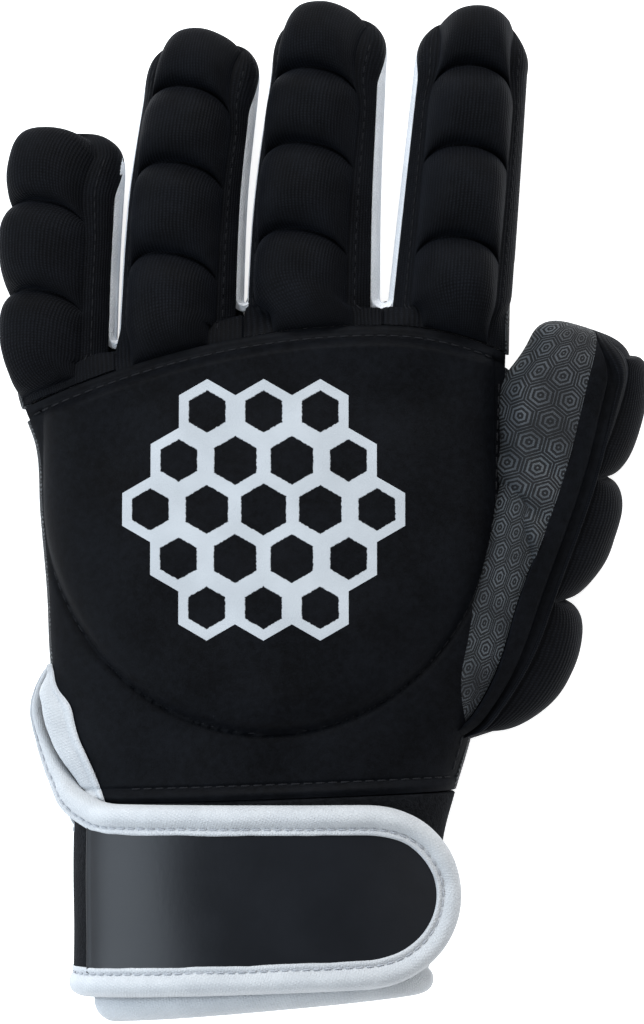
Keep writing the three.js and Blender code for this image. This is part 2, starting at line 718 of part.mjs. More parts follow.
// The band round the wrist under the strap, open at the slit
function makeWristBand() {
  const turn = spread(WRIST.backDeg, WRIST.palmDeg - 360, 25);
  const endY = (x) => lerp(WRIST.endLeft, WRIST.endRight, clamp((x + 52) / 77, 0, 1));
  const grid = (inset) =>
    turn.map((clock) =>
      spread(0, 1, 4).map((share) => {
        const { x } = handPoint(-90, clock, inset);
        return handPoint(lerp(wristSeamY(x) - GAP / 2, endY(x), share), clock, inset);
      }),
    );
  return wall(grid(0), grid(WRIST_WALL));
}

// The strap's middle line round the wrist, as points of x and z with the outward normal
function strapLine() {
  const y = STRAP.top - 2;
  const wide = STRAP.clearance + TAPE_WALL + GAP + STRAP_WALL / 2;
  const points = spread(STRAP.startDeg, STRAP.liftDeg, 6).map((clock) => handPoint(y, clock, -wide));
  for (const clock of spread(142, 30, 12)) {
    const point = handPoint(y, clock, -wide);
    if (point.x < STRAP.leaveX) points.push(point);
  }
  const last = points.at(-1);
  for (const share of [0.25, 0.45, 0.62, 0.76, 0.87, 0.94, 0.98, 1]) {
    const x = lerp(last.x, STRAP.endX - TAPE.bulge, share);
    points.push(new THREE.Vector3(x, y, last.z - STRAP.droop * (x - last.x) * (0.7 + 0.6 * share)));
  }
  return points.map((point, i) => {
    const before = points[Math.max(i - 1, 0)];
    const after = points[Math.min(i + 1, points.length - 1)];
    const direction = new THREE.Vector3(after.x - before.x, 0, after.z - before.z).normalize();
    return { x: point.x, z: point.z, direction, normal: new THREE.Vector3(-direction.z, 0, direction.x) };
  });
}

// The strap's upper and lower edge at x, round at its free end. Inset draws the outline in.
function strapEdges(x, inset) {
  const lower = lerp(STRAP.bottomLeft, STRAP.bottomRight, clamp((x + 55) / 80, 0, 1));
  const [middle, half] = [(STRAP.top + lower) / 2, (STRAP.top - lower) / 2 - inset];
  const past = clamp((x - (STRAP.endX - STRAP.endRadius)) / (STRAP.endRadius - inset), 0, 1);
  const share = Math.sqrt(Math.max(0, 1 - past ** 2.2));
  return { top: middle + half * share, bottom: middle - half * share };
}

function strapSheet(line, inset, low, high, columns) {
  const grid = (height) =>
    line.map(({ x, z, normal }) => {
      const edges = strapEdges(x, inset);
      return spread(edges.top, edges.bottom, columns).map(
        (y) => new THREE.Vector3(x + normal.x * height, y, z + normal.z * height),
      );
    });
  return wall(grid(high), grid(low));
}

const EDGE_ROOM = TAPE_WALL + GAP * 1.5;

function makeStrap(line) {
  const kept = line.filter(({ x }) => x < STRAP.endX - EDGE_ROOM - 1);
  return strapSheet(kept, EDGE_ROOM, -STRAP_WALL / 2, STRAP_WALL / 2, 5);
}

function makeStrapFace(line) {
  const right = STRAP.endX - FACE.inset - 0.4;
  const kept = line.filter(({ x, normal }) => x < right && x > FACE.left && normal.z > 0.2);
  const low = STRAP_WALL / 2 + FACE.lift;
  return strapSheet(kept, FACE.inset, low, low + FACE_WALL, 4);
}

// A tape folded over a cloth edge. Each station has a point on the edge, a way inwards and a normal.
function foldedTape(stations, clothWall, width) {
  const out = clothWall / 2 + GAP + TAPE_WALL;
  const into = clothWall / 2 + GAP;
  const profile = (top, under, fold, corner) => [
    [width, top],
    [fold + corner, top],
    [fold, top - corner],
    [fold, corner - under],
    [fold + corner, -under],
    [width, -under],
  ];
  const grid = (shape) =>
    stations.map(({ edge, inwards, normal }) =>
      shape.map(([across, height]) =>
        edge.clone().addScaledVector(inwards, across).addScaledVector(normal, height),
      ),
    );
  const outer = profile(out + TAPE.bulge, out, 0, TAPE.corner);
  return wall(grid(outer), grid(profile(into, into, TAPE_WALL, 0.2)));
}

function makeStrapTape(line) {
  const [upper, lower] = [[], []];
  line.forEach(({ x, z, normal, direction }) => {
    const edges = strapEdges(x, 0);
    const ahead = strapEdges(x + 0.05, 0);
    const slope = Math.atan2(ahead.top - edges.top, 0.05);
    const inUpper = direction.clone().multiplyScalar(Math.sin(slope)).setY(-Math.cos(slope));
    const slopeLow = Math.atan2(ahead.bottom - edges.bottom, 0.05);
    const inLower = direction.clone().multiplyScalar(-Math.sin(slopeLow)).setY(Math.cos(slopeLow));
    const atEdge = (y) => new THREE.Vector3(x, y, z);
    upper.push({ edge: atEdge(edges.top), inwards: inUpper.normalize(), normal });
    lower.push({ edge: atEdge(edges.bottom), inwards: inLower.normalize(), normal });
  });
  const nose = line.at(-1);
  const end = strapEdges(nose.x, 0);
  upper.pop();
  lower.pop();
  const tip = {
    edge: new THREE.Vector3(nose.x, (end.top + end.bottom) / 2, nose.z),
    inwards: nose.direction.clone().negate(),
    normal: nose.normal,
  };
  return foldedTape([...upper, tip, ...lower.reverse()], STRAP_WALL, TAPE.width);
}

// The tape round the cuff's lower edge
function makeCuffTape() {
  const stations = spread(WRIST.backDeg, WRIST.palmDeg - 360, 25).map((clock) => {
    const { x } = handPoint(-112, clock, WRIST_WALL / 2);
    const y = lerp(WRIST.endLeft, WRIST.endRight, clamp((x + 52) / 77, 0, 1)) - EDGE_ROOM;
    const edge = handPoint(y, clock, WRIST_WALL / 2);
    const beside = handPoint(y, clock, WRIST_WALL / 2 - 1);
    const normal = beside.sub(edge).setY(0).normalize();
    const inwards = handPoint(y + 6, clock, WRIST_WALL / 2).sub(edge).normalize();
    return { edge, inwards, normal };
  });
  return foldedTape(stations, WRIST_WALL + GAP, 4.4);
}

// The tape along a free edge of the slit, laid on the cloth's own rows
function makeSlitTape([outer, inner], edgeColumn, nextColumn, clothWall) {
  const middle = (row, column) => outer[row].at(column).clone().lerp(inner[row].at(column), 0.5);
  const rows = outer.map((_, row) => row).filter((row) => outer[row].at(edgeColumn).y < SLIT.top - 4);
  const stations = rows.map((row) => {
    const edge = middle(row, edgeColumn);
    const inwards = middle(row, nextColumn).sub(edge).normalize();
    const normal = outer[row].at(edgeColumn).clone().sub(inner[row].at(edgeColumn)).normalize();
    return { edge: edge.addScaledVector(inwards, -EDGE_ROOM), inwards, normal };
  });
  return foldedTape(stations, clothWall + 3 * GAP, 4);
}

function addPiece(group, name, geometry, cloth) {
  const mesh = new THREE.Mesh(geometry, new THREE.MeshStandardMaterial({ ...CLOTH[cloth], metalness: 0 }));
  mesh.name = name;
  group.add(mesh);
}

function makeGlove() {
  const glove = new THREE.Group();
  const { little, ring, middle, index } = FINGERS;
  const hollow = thumbHollow();
  const bulk = handBulk();
  const line = strapLine();
  const back = handBackGrids();
  const palm = handPalmGrids();
  const fronts = Object.values(FINGERS).map((finger) => makeFingerFront(finger));
  const outerBacks = [little, index].map((finger) => makeFingerBack(finger, GAP));

  addPiece(glove, 'hand_back', cut(wall(...back), hollow), 'neoprene');
  addPiece(glove, 'palm', cut(join([wall(...palm), ...fronts]), hollow, ...outerBacks), 'grip');
  for (const [name, finger] of Object.entries(FINGERS)) {
    addPiece(glove, `finger_back_${name}`, makeFingerBack(finger), 'knit');
  }
  addPiece(glove, 'fourchette_little_ring', makeFourchette(little, ring), 'white');
  addPiece(glove, 'fourchette_ring_middle', makeFourchette(ring, middle), 'white');
  addPiece(glove, 'fourchette_middle_index', makeFourchette(middle, index), 'white');
  addPiece(glove, 'thumb_back', cut(makeThumbBack(), bulk), 'knit');
  addPiece(glove, 'thumb_side', cut(makeThumbSide(), bulk), 'neoprene');
  addPiece(glove, 'thumb_front', cut(makeThumbFront(), bulk), 'grip');
  addPiece(glove, 'wrist_band', makeWristBand(), 'loop');
  addPiece(glove, 'cuff_tape', makeCuffTape(), 'white');
  addPiece(glove, 'slit_tape_back', makeSlitTape(back, -1, -2, BACK_WALL), 'white');
  addPiece(glove, 'slit_tape_palm', makeSlitTape(palm, 0, 1, PALM_WALL), 'white');
  addPiece(glove, 'strap', makeStrap(line), 'neoprene');
  addPiece(glove, 'strap_face', makeStrapFace(line), 'gloss');
  addPiece(glove, 'strap_tape', makeStrapTape(line), 'white');

  glove.position.set(CENTRE_SHIFT.x, CENTRE_SHIFT.y, 0);
  return glove;
}

export default makeGlove();
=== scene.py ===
# A padded field hockey glove for the left hand, lying on its palm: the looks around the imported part.
# Shapes are worked out in millimetres in the part's drawing frame, and placed in metres.

import logging
import math
from dataclasses import dataclass
from enum import Enum
from functools import cached_property
from typing import Callable, Sequence

import bpy
import numpy as np
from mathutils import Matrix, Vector

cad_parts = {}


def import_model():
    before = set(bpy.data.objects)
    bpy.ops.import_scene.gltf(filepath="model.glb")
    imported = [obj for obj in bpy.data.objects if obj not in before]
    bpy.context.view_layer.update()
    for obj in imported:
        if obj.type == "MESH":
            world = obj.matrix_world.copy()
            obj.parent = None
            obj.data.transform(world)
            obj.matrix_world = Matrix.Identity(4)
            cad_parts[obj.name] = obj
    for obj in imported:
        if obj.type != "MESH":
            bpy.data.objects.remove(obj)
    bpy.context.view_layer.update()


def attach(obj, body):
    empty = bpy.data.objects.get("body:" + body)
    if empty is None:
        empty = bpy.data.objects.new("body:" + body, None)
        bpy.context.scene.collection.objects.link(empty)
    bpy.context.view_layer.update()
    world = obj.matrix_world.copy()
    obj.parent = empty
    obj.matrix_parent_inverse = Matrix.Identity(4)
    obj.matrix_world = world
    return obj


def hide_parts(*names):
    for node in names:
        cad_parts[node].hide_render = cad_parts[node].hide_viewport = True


LOG = logging.getLogger("glove")
Array = np.ndarray
Grids = tuple[Array, Array]

MM = 0.001
SHIFT_X = -1.8
BACK_WALL = 2.4
PALM_WALL = 2.0
SIDE_WALL = 1.5
WRIST_WALL = 2.4
STRAP_WALL = 3.0
TAPE_WALL = 0.9
SEAM_ROOM_DEG = 0.12
HAND_SEAM_RIGHT = 10.0
HAND_SEAM_LEFT = 170.0
PER_METRE = 1000.0
MERGE_WITHIN = 2e-6
SMOOTH_BELOW_DEG = 62
ROOT_RUN = 14
USUAL_RISE = 7.0
FLOOR_SWELL = 0.12
STRAP_STEP = 0.7
PAD_RIM = 0.45
CLOTH_RIM = 0.4
TAPE_RIM = 0.3
FILM_RIM = 0.25
CUFF_STEP = 0.4
COOL_SHEEN = {"sheen_roughness": 0.4, "sheen_tint": (0.62, 0.72, 1.0)}


class Cloth(Enum):
    """The material slots of the record, one for each cloth of the glove."""

    NEOPRENE = "neoprene"
    KNIT = "ribbed_knit"
    GRIP = "grip_cloth"
    WHITE = "white_cloth"
    LOOP = "loop_cloth"
    FILM = "strap_film"


# Maths on arrays


def ease(value: Array | float, low: float, high: float | Array) -> Array:
    """A smooth step from 0 at low to 1 at high."""
    t = np.clip((np.asarray(value, float) - low) / (high - low), 0.0, 1.0)
    return t * t * (3.0 - 2.0 * t)


def mix(a: Array | float, b: Array | float, share: Array | float) -> Array | float:
    """The value a share of the way from a to b."""
    return a + (b - a) * share


def signed_power(value: Array, power: float) -> Array:
    """A power that keeps the sign."""
    return np.sign(value) * np.abs(value) ** power


def dense_ends(low: float, high: float, count: int) -> Array:
    """Values from low to high that crowd towards both ends."""
    return low + (high - low) * (np.sin(np.linspace(-1.0, 1.0, count) * math.pi / 2) + 1.0) / 2.0


def unit(vectors: Array) -> Array:
    """Vectors made one long."""
    return vectors / np.maximum(np.linalg.norm(vectors, axis=-1, keepdims=True), 1e-9)


def stacked(x: Array, y: Array, z: Array) -> Array:
    """Points from three arrays that broadcast."""
    return np.stack(np.broadcast_arrays(x, y, z), axis=-1).astype(float)


def ripple(points: Array, size: float, seed: int) -> Array:
    """A soft, uneven swell between about -1 and 1 over points, with waves of roughly the given size."""
    rng = np.random.default_rng(seed)
    total = np.zeros(points.shape[:-1])
    for _ in range(7):
        direction = unit(rng.normal(size=3)) * (2 * math.pi / size) * rng.uniform(0.55, 1.25)
        total += np.sin(points @ direction + rng.uniform(0, 2 * math.pi))
    return total / 3.0


@dataclass(frozen=True)
class SmoothTable:
    """Named columns on a smooth curve through rows, each of which starts with its y."""

    names: tuple[str, ...]
    rows: tuple[tuple[float, ...], ...]

    def at(self, name: str, y: Array | float) -> Array:
        """A column at y.

        Args:
            name: the column.
            y: one place or an array of places along the table.

        Returns:
            The column's value at each y, held level past both ends.
        """
        ys = np.array([row[0] for row in self.rows])
        values = np.array([row[1 + self.names.index(name)] for row in self.rows])
        before, after = np.maximum(np.arange(len(ys)) - 1, 0), np.minimum(np.arange(len(ys)) + 1, len(ys) - 1)
        slopes = (values[after] - values[before]) / (ys[after] - ys[before])
        y = np.asarray(y, float)
        i = np.clip(np.searchsorted(ys, y, side="right") - 1, 0, len(ys) - 2)
        span = ys[i + 1] - ys[i]
        t = np.clip((y - ys[i]) / span, 0.0, 1.0)
        rise, start, end = values[i + 1] - values[i], span * slopes[i], span * slopes[i + 1]
        return values[i] + t * (start + t * ((3 * rise - 2 * start - end) + t * (start + end - 2 * rise)))


@dataclass(frozen=True)
class HandForm:
    """The section of the hand and wrist at each y, the knuckle seam and the foam dome."""

    table: SmoothTable = SmoothTable(
        ("left", "right", "tall", "low"),
        (
            (-122, -49.4, 23.6, 33.8, 2.3),
            (-112, -49.8, 24.4, 34.6, 2.3),
            (-95, -50.4, 26.2, 35.0, 1.5),
            (-76, -52.0, 28.6, 35.0, 0.5),
            (-66, -54.8, 31.2, 34.5, 0.0),
            (-53, -60.5, 35.0, 33.5, 0.0),
            (-37, -63.7, 38.4, 32.0, 0.0),
            (-18, -64.8, 41.6, 29.8, 0.0),
            (0, -66.4, 43.0, 27.0, 0.0),
            (15, -67.4, 43.4, 24.0, 0.0),
            (28, -71.8, 43.9, 21.5, 0.0),
            (50, -73.0, 44.4, 20.0, 0.0),
        ),
    )
    top_power: float = 2.2
    bottom_power: float = 3.2
    sink: float = 0.8
    knuckle_x: float = 14.0
    knuckle_top: float = 43.6
    left_fall: float = 0.00275
    right_fall: float = 0.0075
    dome_x: float = -12.5
    dome_y: float = 4.0
    dome_half_width: float = 53.0
    dome_half_length: float = 55.5
    dome_rise: float = 4.6
    dome_shoulder: float = 0.3
    seam_fade: float = 5.0

    def knuckle_y(self, x: Array | float) -> Array:
        """The knuckle seam's y at x."""
        away = np.asarray(x, float) - self.knuckle_x
        return self.knuckle_top - np.where(away < 0, self.left_fall, self.right_fall) * away * away

    def wrist_y(self, x: Array | float) -> Array:
        """The wrist seam's y at x."""
        return mix(-68.4, -65.2, np.clip((np.asarray(x, float) + 57) / 88, 0, 1))

    def dome_inside(self, x: Array, y: Array) -> Array:
        """1 at the middle of the foam dome, 0 on its outline, less outside it."""
        across = (x - self.dome_x) / self.dome_half_width
        down = (y - self.dome_y) / self.dome_half_length
        return 1 - across**2 - np.where(y < self.dome_y, down**2, 0.0)

    def dome_lift(self, x: Array, y: Array) -> Array:
        """How far the foam lifts the back of the hand at a place."""
        inside = self.dome_inside(x, y)
        edge = 1 - np.clip(inside / self.dome_shoulder, 0, 1)
        front = ease(self.knuckle_y(x) - y, 0, self.seam_fade)
        return self.dome_rise * np.sqrt(1 - edge**2) * front * (0.8 + 0.2 * np.clip(inside, 0, 1))

    def point(self, y: Array | float, clock: Array | float, inset: float = 0.0) -> Array:
        """Points of the section.

        Args:
            y: place along the hand.
            clock: degrees, 0 at the thumb's side, 90 on top, 180 at the little finger's side.
            inset: how far inside the cloth's outer face.

        Returns:
            Points as an array that ends in x, y, z.
        """
        y, angle = np.broadcast_arrays(np.asarray(y, float), np.radians(np.asarray(clock, float)))
        left, right, low = (self.table.at(name, y) for name in ("left", "right", "low"))
        middle = (self.table.at("tall", y) + low) / 2
        up, over = np.sin(angle), np.cos(angle)
        power = np.where(up > 0, self.top_power, self.bottom_power)
        half = (right - left) / 2 - inset
        x = (left + right) / 2 + half * np.sign(over) * np.abs(over) ** (2 / power)
        reach = middle - low - inset + np.where(up > 0, 0.0, self.sink)
        z = np.maximum(low + inset, middle + reach * np.sign(up) * np.abs(up) ** (2 / power))
        return stacked(x, y, z)

    def clock_at(self, x: float, y: float, start: float, end: float) -> float:
        """The clock angle between start and end at which the section passes x."""
        rising = self.point(y, end)[..., 0] > self.point(y, start)[..., 0]
        for _ in range(24):
            half_way = (start + end) / 2
            if (self.point(y, half_way)[..., 0] < x) == rising:
                start = half_way
            else:
                end = half_way
        return (start + end) / 2


HAND = HandForm()


@dataclass(frozen=True)
class Pad:
    """A foam pad of a finger: where it begins and ends along the cloth, and how far it stands out."""

    start: float
    end: float
    rise: float


@dataclass(frozen=True)
class StallForm:
    """A finger or the thumb as a tube with a rounded end. Its frame is turned by lean_deg about Z."""

    table: SmoothTable
    tip: float
    roll_deg: float
    pad_half: float
    pads: tuple[Pad, ...]
    power: float = 2.6
    sag: float = 3.0
    sink: float = 0.8
    lean_deg: float = 0.0
    lift: float = 0.0
    nose: float = 12.0
    nose_travel: float = 17.0
    tip_half: float = 7.2
    tip_shift: float = 0.0
    corner: float = 2.2
    shoulder: float = 3.4
    droop: float = 0.0
    droop_from: float = 8.0
    pad_turn: float = 0.9
    groove: float = 0.25

    @property
    def bend(self) -> float:
        """Where the rounded end begins."""
        return self.tip - self.nose

    @property
    def end(self) -> float:
        """The end of the tip, measured along the cloth."""
        return self.bend + self.nose_travel

    @cached_property
    def drift(self) -> float:
        """How fast the middle line moves sideways near the tip."""
        (y0, c0), (y1, c1) = (row[:2] for row in self.table.rows[-2:])
        return (c1 - c0) / (y1 - y0)

    @cached_property
    def out(self) -> Array:
        """The way that the pads face."""
        roll, lean = math.radians(self.roll_deg), math.radians(self.lean_deg)
        return np.array([math.sin(roll) * math.cos(lean), -math.sin(roll) * math.sin(lean), math.cos(roll)])

    @cached_property
    def forward(self) -> Array:
        """The way towards the tip."""
        lean = math.radians(self.lean_deg)
        return np.array([math.sin(lean), math.cos(lean), 0.0])

    @cached_property
    def aside(self) -> Array:
        """The way across the pads, to the thumb's side of a finger."""
        return np.cross(self.forward, self.out)

    def turn(self, q: Array) -> Array:
        """How far the section has turned over the tip, in radians."""
        return np.clip((np.asarray(q, float) - self.bend) / self.nose_travel, 0, 1) * (math.pi / 2)

    def station(self, q: Array, inset: float) -> dict[str, Array]:
        """The section's middle and half sizes at q, drawn in by inset."""
        q = np.asarray(q, float)
        turn = self.turn(q)
        straight = np.minimum(q, self.bend)
        w = straight + (self.nose - inset) * np.sin(turn)
        shrink = np.maximum(np.cos(turn), 0.0) ** 0.7
        wide = np.maximum(1 - np.sin(turn) ** self.shoulder, 0.0) ** (1 / self.shoulder)
        return {
            "turn": turn,
            "w": w,
            "c": self.table.at("c", straight) + (w - straight) * self.drift,
            "half": (self.table.at("half", w) - inset) * wide,
            "middle": self.table.at("tall", w) / 2,
            "reach": (self.table.at("tall", w) / 2 - inset) * shrink,
        }

    def point(self, q: Array, clock: Array, inset: float = 0.0) -> Array:
        """Points of the bare tube at q along it and a clock angle round it."""
        q, clock = np.broadcast_arrays(np.asarray(q, float), np.asarray(clock, float))
        at = self.station(q, inset)
        angle = np.radians(clock)
        up = np.sin(angle)
        across = at["c"] + at["half"] * signed_power(np.cos(angle), 2 / self.power)
        pressed = np.where(up < 0, self.sink * np.cos(at["turn"]), 0.0)
        z = np.maximum(inset, at["middle"] + (at["reach"] + pressed) * signed_power(up, 2 / self.power))
        lean = math.radians(self.lean_deg)
        along = at["w"] - self.droop * np.maximum(across - at["c"] - self.droop_from, 0.0) * np.sin(at["turn"])
        return stacked(
            along * math.sin(lean) + across * math.cos(lean),
            along * math.cos(lean) - across * math.sin(lean),
            z + self.lift,
        )

    def pad_clock(self, q: Array, share: Array, low: Array, high: Array) -> Array:
        """The clock angle at a share of the pad's half width.

        Args:
            q: places along the cloth, as a column.
            share: shares from 1 at the low side to -1 at the high side, as a row.
            low: the panel's first clock angle at each q.
            high: the panel's last clock angle at each q.

        Returns:
            A grid of clock angles, found by halving.
        """
        roll = math.radians(self.roll_deg)
        at = self.station(q, 0)

        def sideways(clock: Array) -> Array:
            angle = np.radians(clock)
            x = at["half"] * signed_power(np.cos(angle), 2 / self.power)
            z = at["reach"] * signed_power(np.sin(angle), 2 / self.power)
            return x * math.cos(roll) - z * math.sin(roll)

        last = self.pads[-1]
        near_tip = ease(q, last.start - 5, last.end - 3)
        half = mix(self.pad_half, self.tip_half, near_tip)
        room = np.minimum(np.minimum(half, sideways(low) * 0.93), -sideways(high) * 0.93)
        wanted = share * room + self.tip_shift * near_tip * (1 - share**2)
        start, end = (np.broadcast_to(a, wanted.shape).copy() for a in (low, high))
        for _ in range(26):
            half_way = (start + end) / 2
            above = sideways(half_way) > wanted
            start, end = np.where(above, half_way, start), np.where(above, end, half_way)
        return (start + end) / 2

    def bow(self, share: Array) -> Array:
        """How far a row of the cloth hangs back at a share of the pad's half width."""
        share = np.minimum(np.abs(share), 1.0)
        return self.sag * share**2 + self.corner * share**6

    def pad_rise(self, q: Array, share: Array) -> Array:
        """How far the foam stands out of the tube: a quick round rim to the tip, a longer slope behind it."""
        side = (1 - np.minimum(1, np.abs(share)) ** 3.0) ** 0.5
        rounder = (1 - np.minimum(1, np.abs(share)) ** 2.4) ** 0.56
        total = np.zeros(np.broadcast(q, share).shape)
        for pad in self.pads:
            t = (2 * q - pad.start - pad.end) / (pad.end - pad.start - 2 * self.groove)
            ahead = np.maximum(0, 1 - np.clip(t, 0, 1) ** 3.2) ** 0.48
            behind = np.maximum(0, 1 - np.clip(-t, 0, 1) ** 2.1) ** 0.58
            on = (q > pad.start) & (q < pad.end)
            at_tip = ease(t, -0.3, 0.9) if pad is self.pads[-1] else 0.0
            breadth = mix(side, rounder, at_tip)
            total = np.where(on, pad.rise * np.where(t > 0, ahead, behind) * breadth, total)
        return total

    def stations(self, start: float, straight: int, curved: int) -> Array:
        """Places from start to the bend and on to the end of the tip, as a column."""
        body = np.linspace(start, self.bend, straight)
        return np.concatenate([body, np.linspace(self.bend, self.end, curved)[1:]])[:, None]

    def pad_grid(
        self, q: Array, margin: float, columns: tuple[int, int], low: Array, high: Array
    ) -> tuple[Array, Array, Array]:
        """The columns of a padded back: a strip, the pads and a strip.

        Args:
            q: places along the cloth, as a column.
            margin: each strip's width, as a share of the pads' half width.
            columns: how many columns a strip and the pads have.
            low: the panel's first clock angle at each q.
            high: the panel's last clock angle at each q.

        Returns:
            The shares of the pads' half width, the clock angles, and how far a column lies past the pads.
        """
        strip = np.linspace(1 + margin, 1.0, columns[0])[:-1]
        shares = np.concatenate([strip, dense_ends(-1, 1, columns[1])[::-1], -strip[::-1]])[None, :]
        clock = self.pad_clock(q, np.clip(shares, -1, 1), low, high)
        past = np.clip((np.abs(shares) - 1) / margin, 0, 1)
        return shares, np.where(shares > 0, mix(clock, low, past), mix(clock, high, past)), past

    def puffed(self, outer: Array, q: Array, more: Array, belly: Array) -> Array:
        """The outer face moved out by more, in the way that the pads face, and aside by their belly."""
        turn = (self.turn(q) * self.pad_turn)[..., None]
        outer = outer + (self.out * np.cos(turn) + self.forward * np.sin(turn)) * more[..., None]
        return outer + self.aside * belly[..., None]

    def rows(self, start: float, per_pad: int) -> Array:
        """Places along the cloth: crowded at each groove, spread over each pad, and on to the tip."""
        places = [np.array([start, start + 0.35, start + 0.9])]
        places += [dense_ends(pad.start, pad.end, per_pad) for pad in self.pads]
        last = self.pads[-1].end
        places.append(np.linspace(last, self.end, max(4, int((self.end - last) / 0.5))))
        rows = np.unique(np.round(np.concatenate(places), 4))
        rows = rows[(rows >= start) & (rows <= self.end)]
        return rows[np.concatenate([[True], np.diff(rows) > 0.02])]


# Making meshes


def in_world(points: Array) -> Array:
    """Points of the drawing frame, in metres of the part's own frame."""
    return (points + np.array([SHIFT_X, 0.0, 0.0])) * MM


def relaxed(path: Array, times: int) -> Array:
    """A line whose inner points are drawn half-way to their neighbours, a few times over."""
    for _ in range(times):
        path[1:-1] = path[1:-1] * 0.5 + (path[:-2] + path[2:]) * 0.25
    return path


def lain(outer: Array, size: float, seed: int) -> Array:
    """A face whose points on the floor are raised by an uneven swell."""
    outer[..., 2] += FLOOR_SWELL * (1 + ripple(outer, size, seed)) * (outer[..., 2] < 1.0)
    return outer


def deselect() -> None:
    """Leaves nothing selected."""
    if bpy.context.object and bpy.context.object.mode != "OBJECT":
        bpy.ops.object.mode_set(mode="OBJECT")
    bpy.ops.object.select_all(action="DESELECT")


def take_up(piece: bpy.types.Object) -> None:
    """Selects one piece alone and makes it active."""
    deselect()
    piece.select_set(True)
    bpy.context.view_layer.objects.active = piece


def hemmed(outer: Array, inner: Array, rim: float, sides: str) -> Grids:
    """Rounds the rim of a wall of cloth by adding lines of points beside its edges.

    Args:
        outer: the outer face's points.
        inner: the inner face's points.
        rim: how wide the rounding is, in millimetres.
        sides: which edges to round, of "s" start, "e" end, "l" first column and "r" last column.

    Returns:
        Both grids with two more lines at each rounded edge.
    """
    for side in sides:
        if side in "lr":
            outer, inner = outer.swapaxes(0, 1), inner.swapaxes(0, 1)
        if side in "er":
            outer, inner = outer[::-1], inner[::-1]
        middle = (outer[0] + inner[0]) / 2
        lines_out, lines_in = [middle], [middle.copy()]
        for along, high in ((0.3, 0.72), (1.0, 1.0)):
            step_out = unit(outer[1] - outer[0]) * np.minimum(
                rim * along, 0.6 * np.linalg.norm(outer[1] - outer[0], axis=-1, keepdims=True)
            )
            base = middle + (outer[0] - middle) * high
            lines_out.append(base + step_out)
            lines_in.append(middle + (inner[0] - middle) * high + step_out)
        outer = np.concatenate([np.stack(lines_out), outer[1:]])
        inner = np.concatenate([np.stack(lines_in), inner[1:]])
        if side in "er":
            outer, inner = outer[::-1], inner[::-1]
        if side in "lr":
            outer, inner = outer.swapaxes(0, 1), inner.swapaxes(0, 1)
    return outer, inner


def cloth_lengths(outer: Array) -> Grids:
    """How far each column lies across and each row along the cloth, in millimetres, from the middle column."""
    across = np.linalg.norm(np.diff(outer, axis=1), axis=-1).mean(axis=0)
    along = np.linalg.norm(np.diff(outer, axis=0), axis=-1).mean(axis=1)
    u = np.concatenate([[0.0], np.cumsum(across)])
    return u - u[len(u) // 2], np.concatenate([[0.0], np.cumsum(along)])


def panel(name: str, outer: Array, inner: Array) -> bpy.types.Object:
    """A closed wall of cloth between two grids of points.

    Args:
        name: the piece's name.
        outer: the outer face's points in millimetres, as rows of columns.
        inner: the inner face's points, of the same shape.

    Returns:
        The piece, with a UV map in millimetres of cloth.
    """
    rows, columns = outer.shape[:2]
    deselect()
    bpy.ops.mesh.primitive_grid_add(x_subdivisions=columns - 1, y_subdivisions=rows - 1, size=2.0)
    piece = bpy.context.object
    piece.name = piece.data.name = name
    bpy.ops.object.mode_set(mode="EDIT")
    bpy.ops.mesh.select_all(action="SELECT")
    bpy.ops.mesh.extrude_region_move(TRANSFORM_OT_translate={"value": (0.0, 0.0, 1.0)})
    bpy.ops.object.mode_set(mode="OBJECT")
    mesh = piece.data
    flat = np.empty(len(mesh.vertices) * 3)
    mesh.vertices.foreach_get("co", flat)
    flat = flat.reshape(-1, 3)
    column = np.rint((flat[:, 0] + 1) / 2 * (columns - 1)).astype(int)
    row = np.rint((flat[:, 1] + 1) / 2 * (rows - 1)).astype(int)
    spots = np.where((flat[:, 2] > 0.5)[:, None], outer[row, column], inner[row, column])
    mesh.vertices.foreach_set("co", in_world(spots).ravel())
    u, v = cloth_lengths(outer)
    corner = np.empty(len(mesh.loops), int)
    mesh.loops.foreach_get("vertex_index", corner)
    mesh.uv_layers.active.data.foreach_set("uv", np.stack([u[column[corner]], v[row[corner]]], 1).ravel())
    mesh.update()
    return closed(piece)


def closed(piece: bpy.types.Object) -> bpy.types.Object:
    """Merges doubled points, turns the faces outwards and shades the piece smooth."""
    take_up(piece)
    bpy.ops.object.mode_set(mode="EDIT")
    bpy.ops.mesh.select_all(action="SELECT")
    bpy.ops.mesh.remove_doubles(threshold=MERGE_WITHIN)
    bpy.ops.mesh.normals_make_consistent(inside=False)
    bpy.ops.object.mode_set(mode="OBJECT")
    bpy.ops.object.shade_smooth_by_angle(angle=math.radians(SMOOTH_BELOW_DEG))
    return piece


def meshed(name: str, points: Array, faces: list[list[int]]) -> bpy.types.Object:
    """A closed piece from points in millimetres and the faces between them."""
    mesh = bpy.data.meshes.new(name)
    mesh.from_pydata(in_world(points).reshape(-1, 3).tolist(), [], faces)
    piece = bpy.data.objects.new(name, mesh)
    bpy.context.scene.collection.objects.link(piece)
    return closed(piece)


def carve(piece: bpy.types.Object, tool: bpy.types.Object) -> None:
    """Cuts the tool's shape out of a piece."""
    take_up(piece)
    modifier = piece.modifiers.new("cut", "BOOLEAN")
    modifier.operation, modifier.object, modifier.solver = "DIFFERENCE", tool, "MANIFOLD"
    bpy.ops.object.modifier_apply(modifier=modifier.name)


def discard(*pieces: bpy.types.Object) -> None:
    """Removes pieces that were only tools."""
    for piece in pieces:
        bpy.data.objects.remove(piece, do_unlink=True)


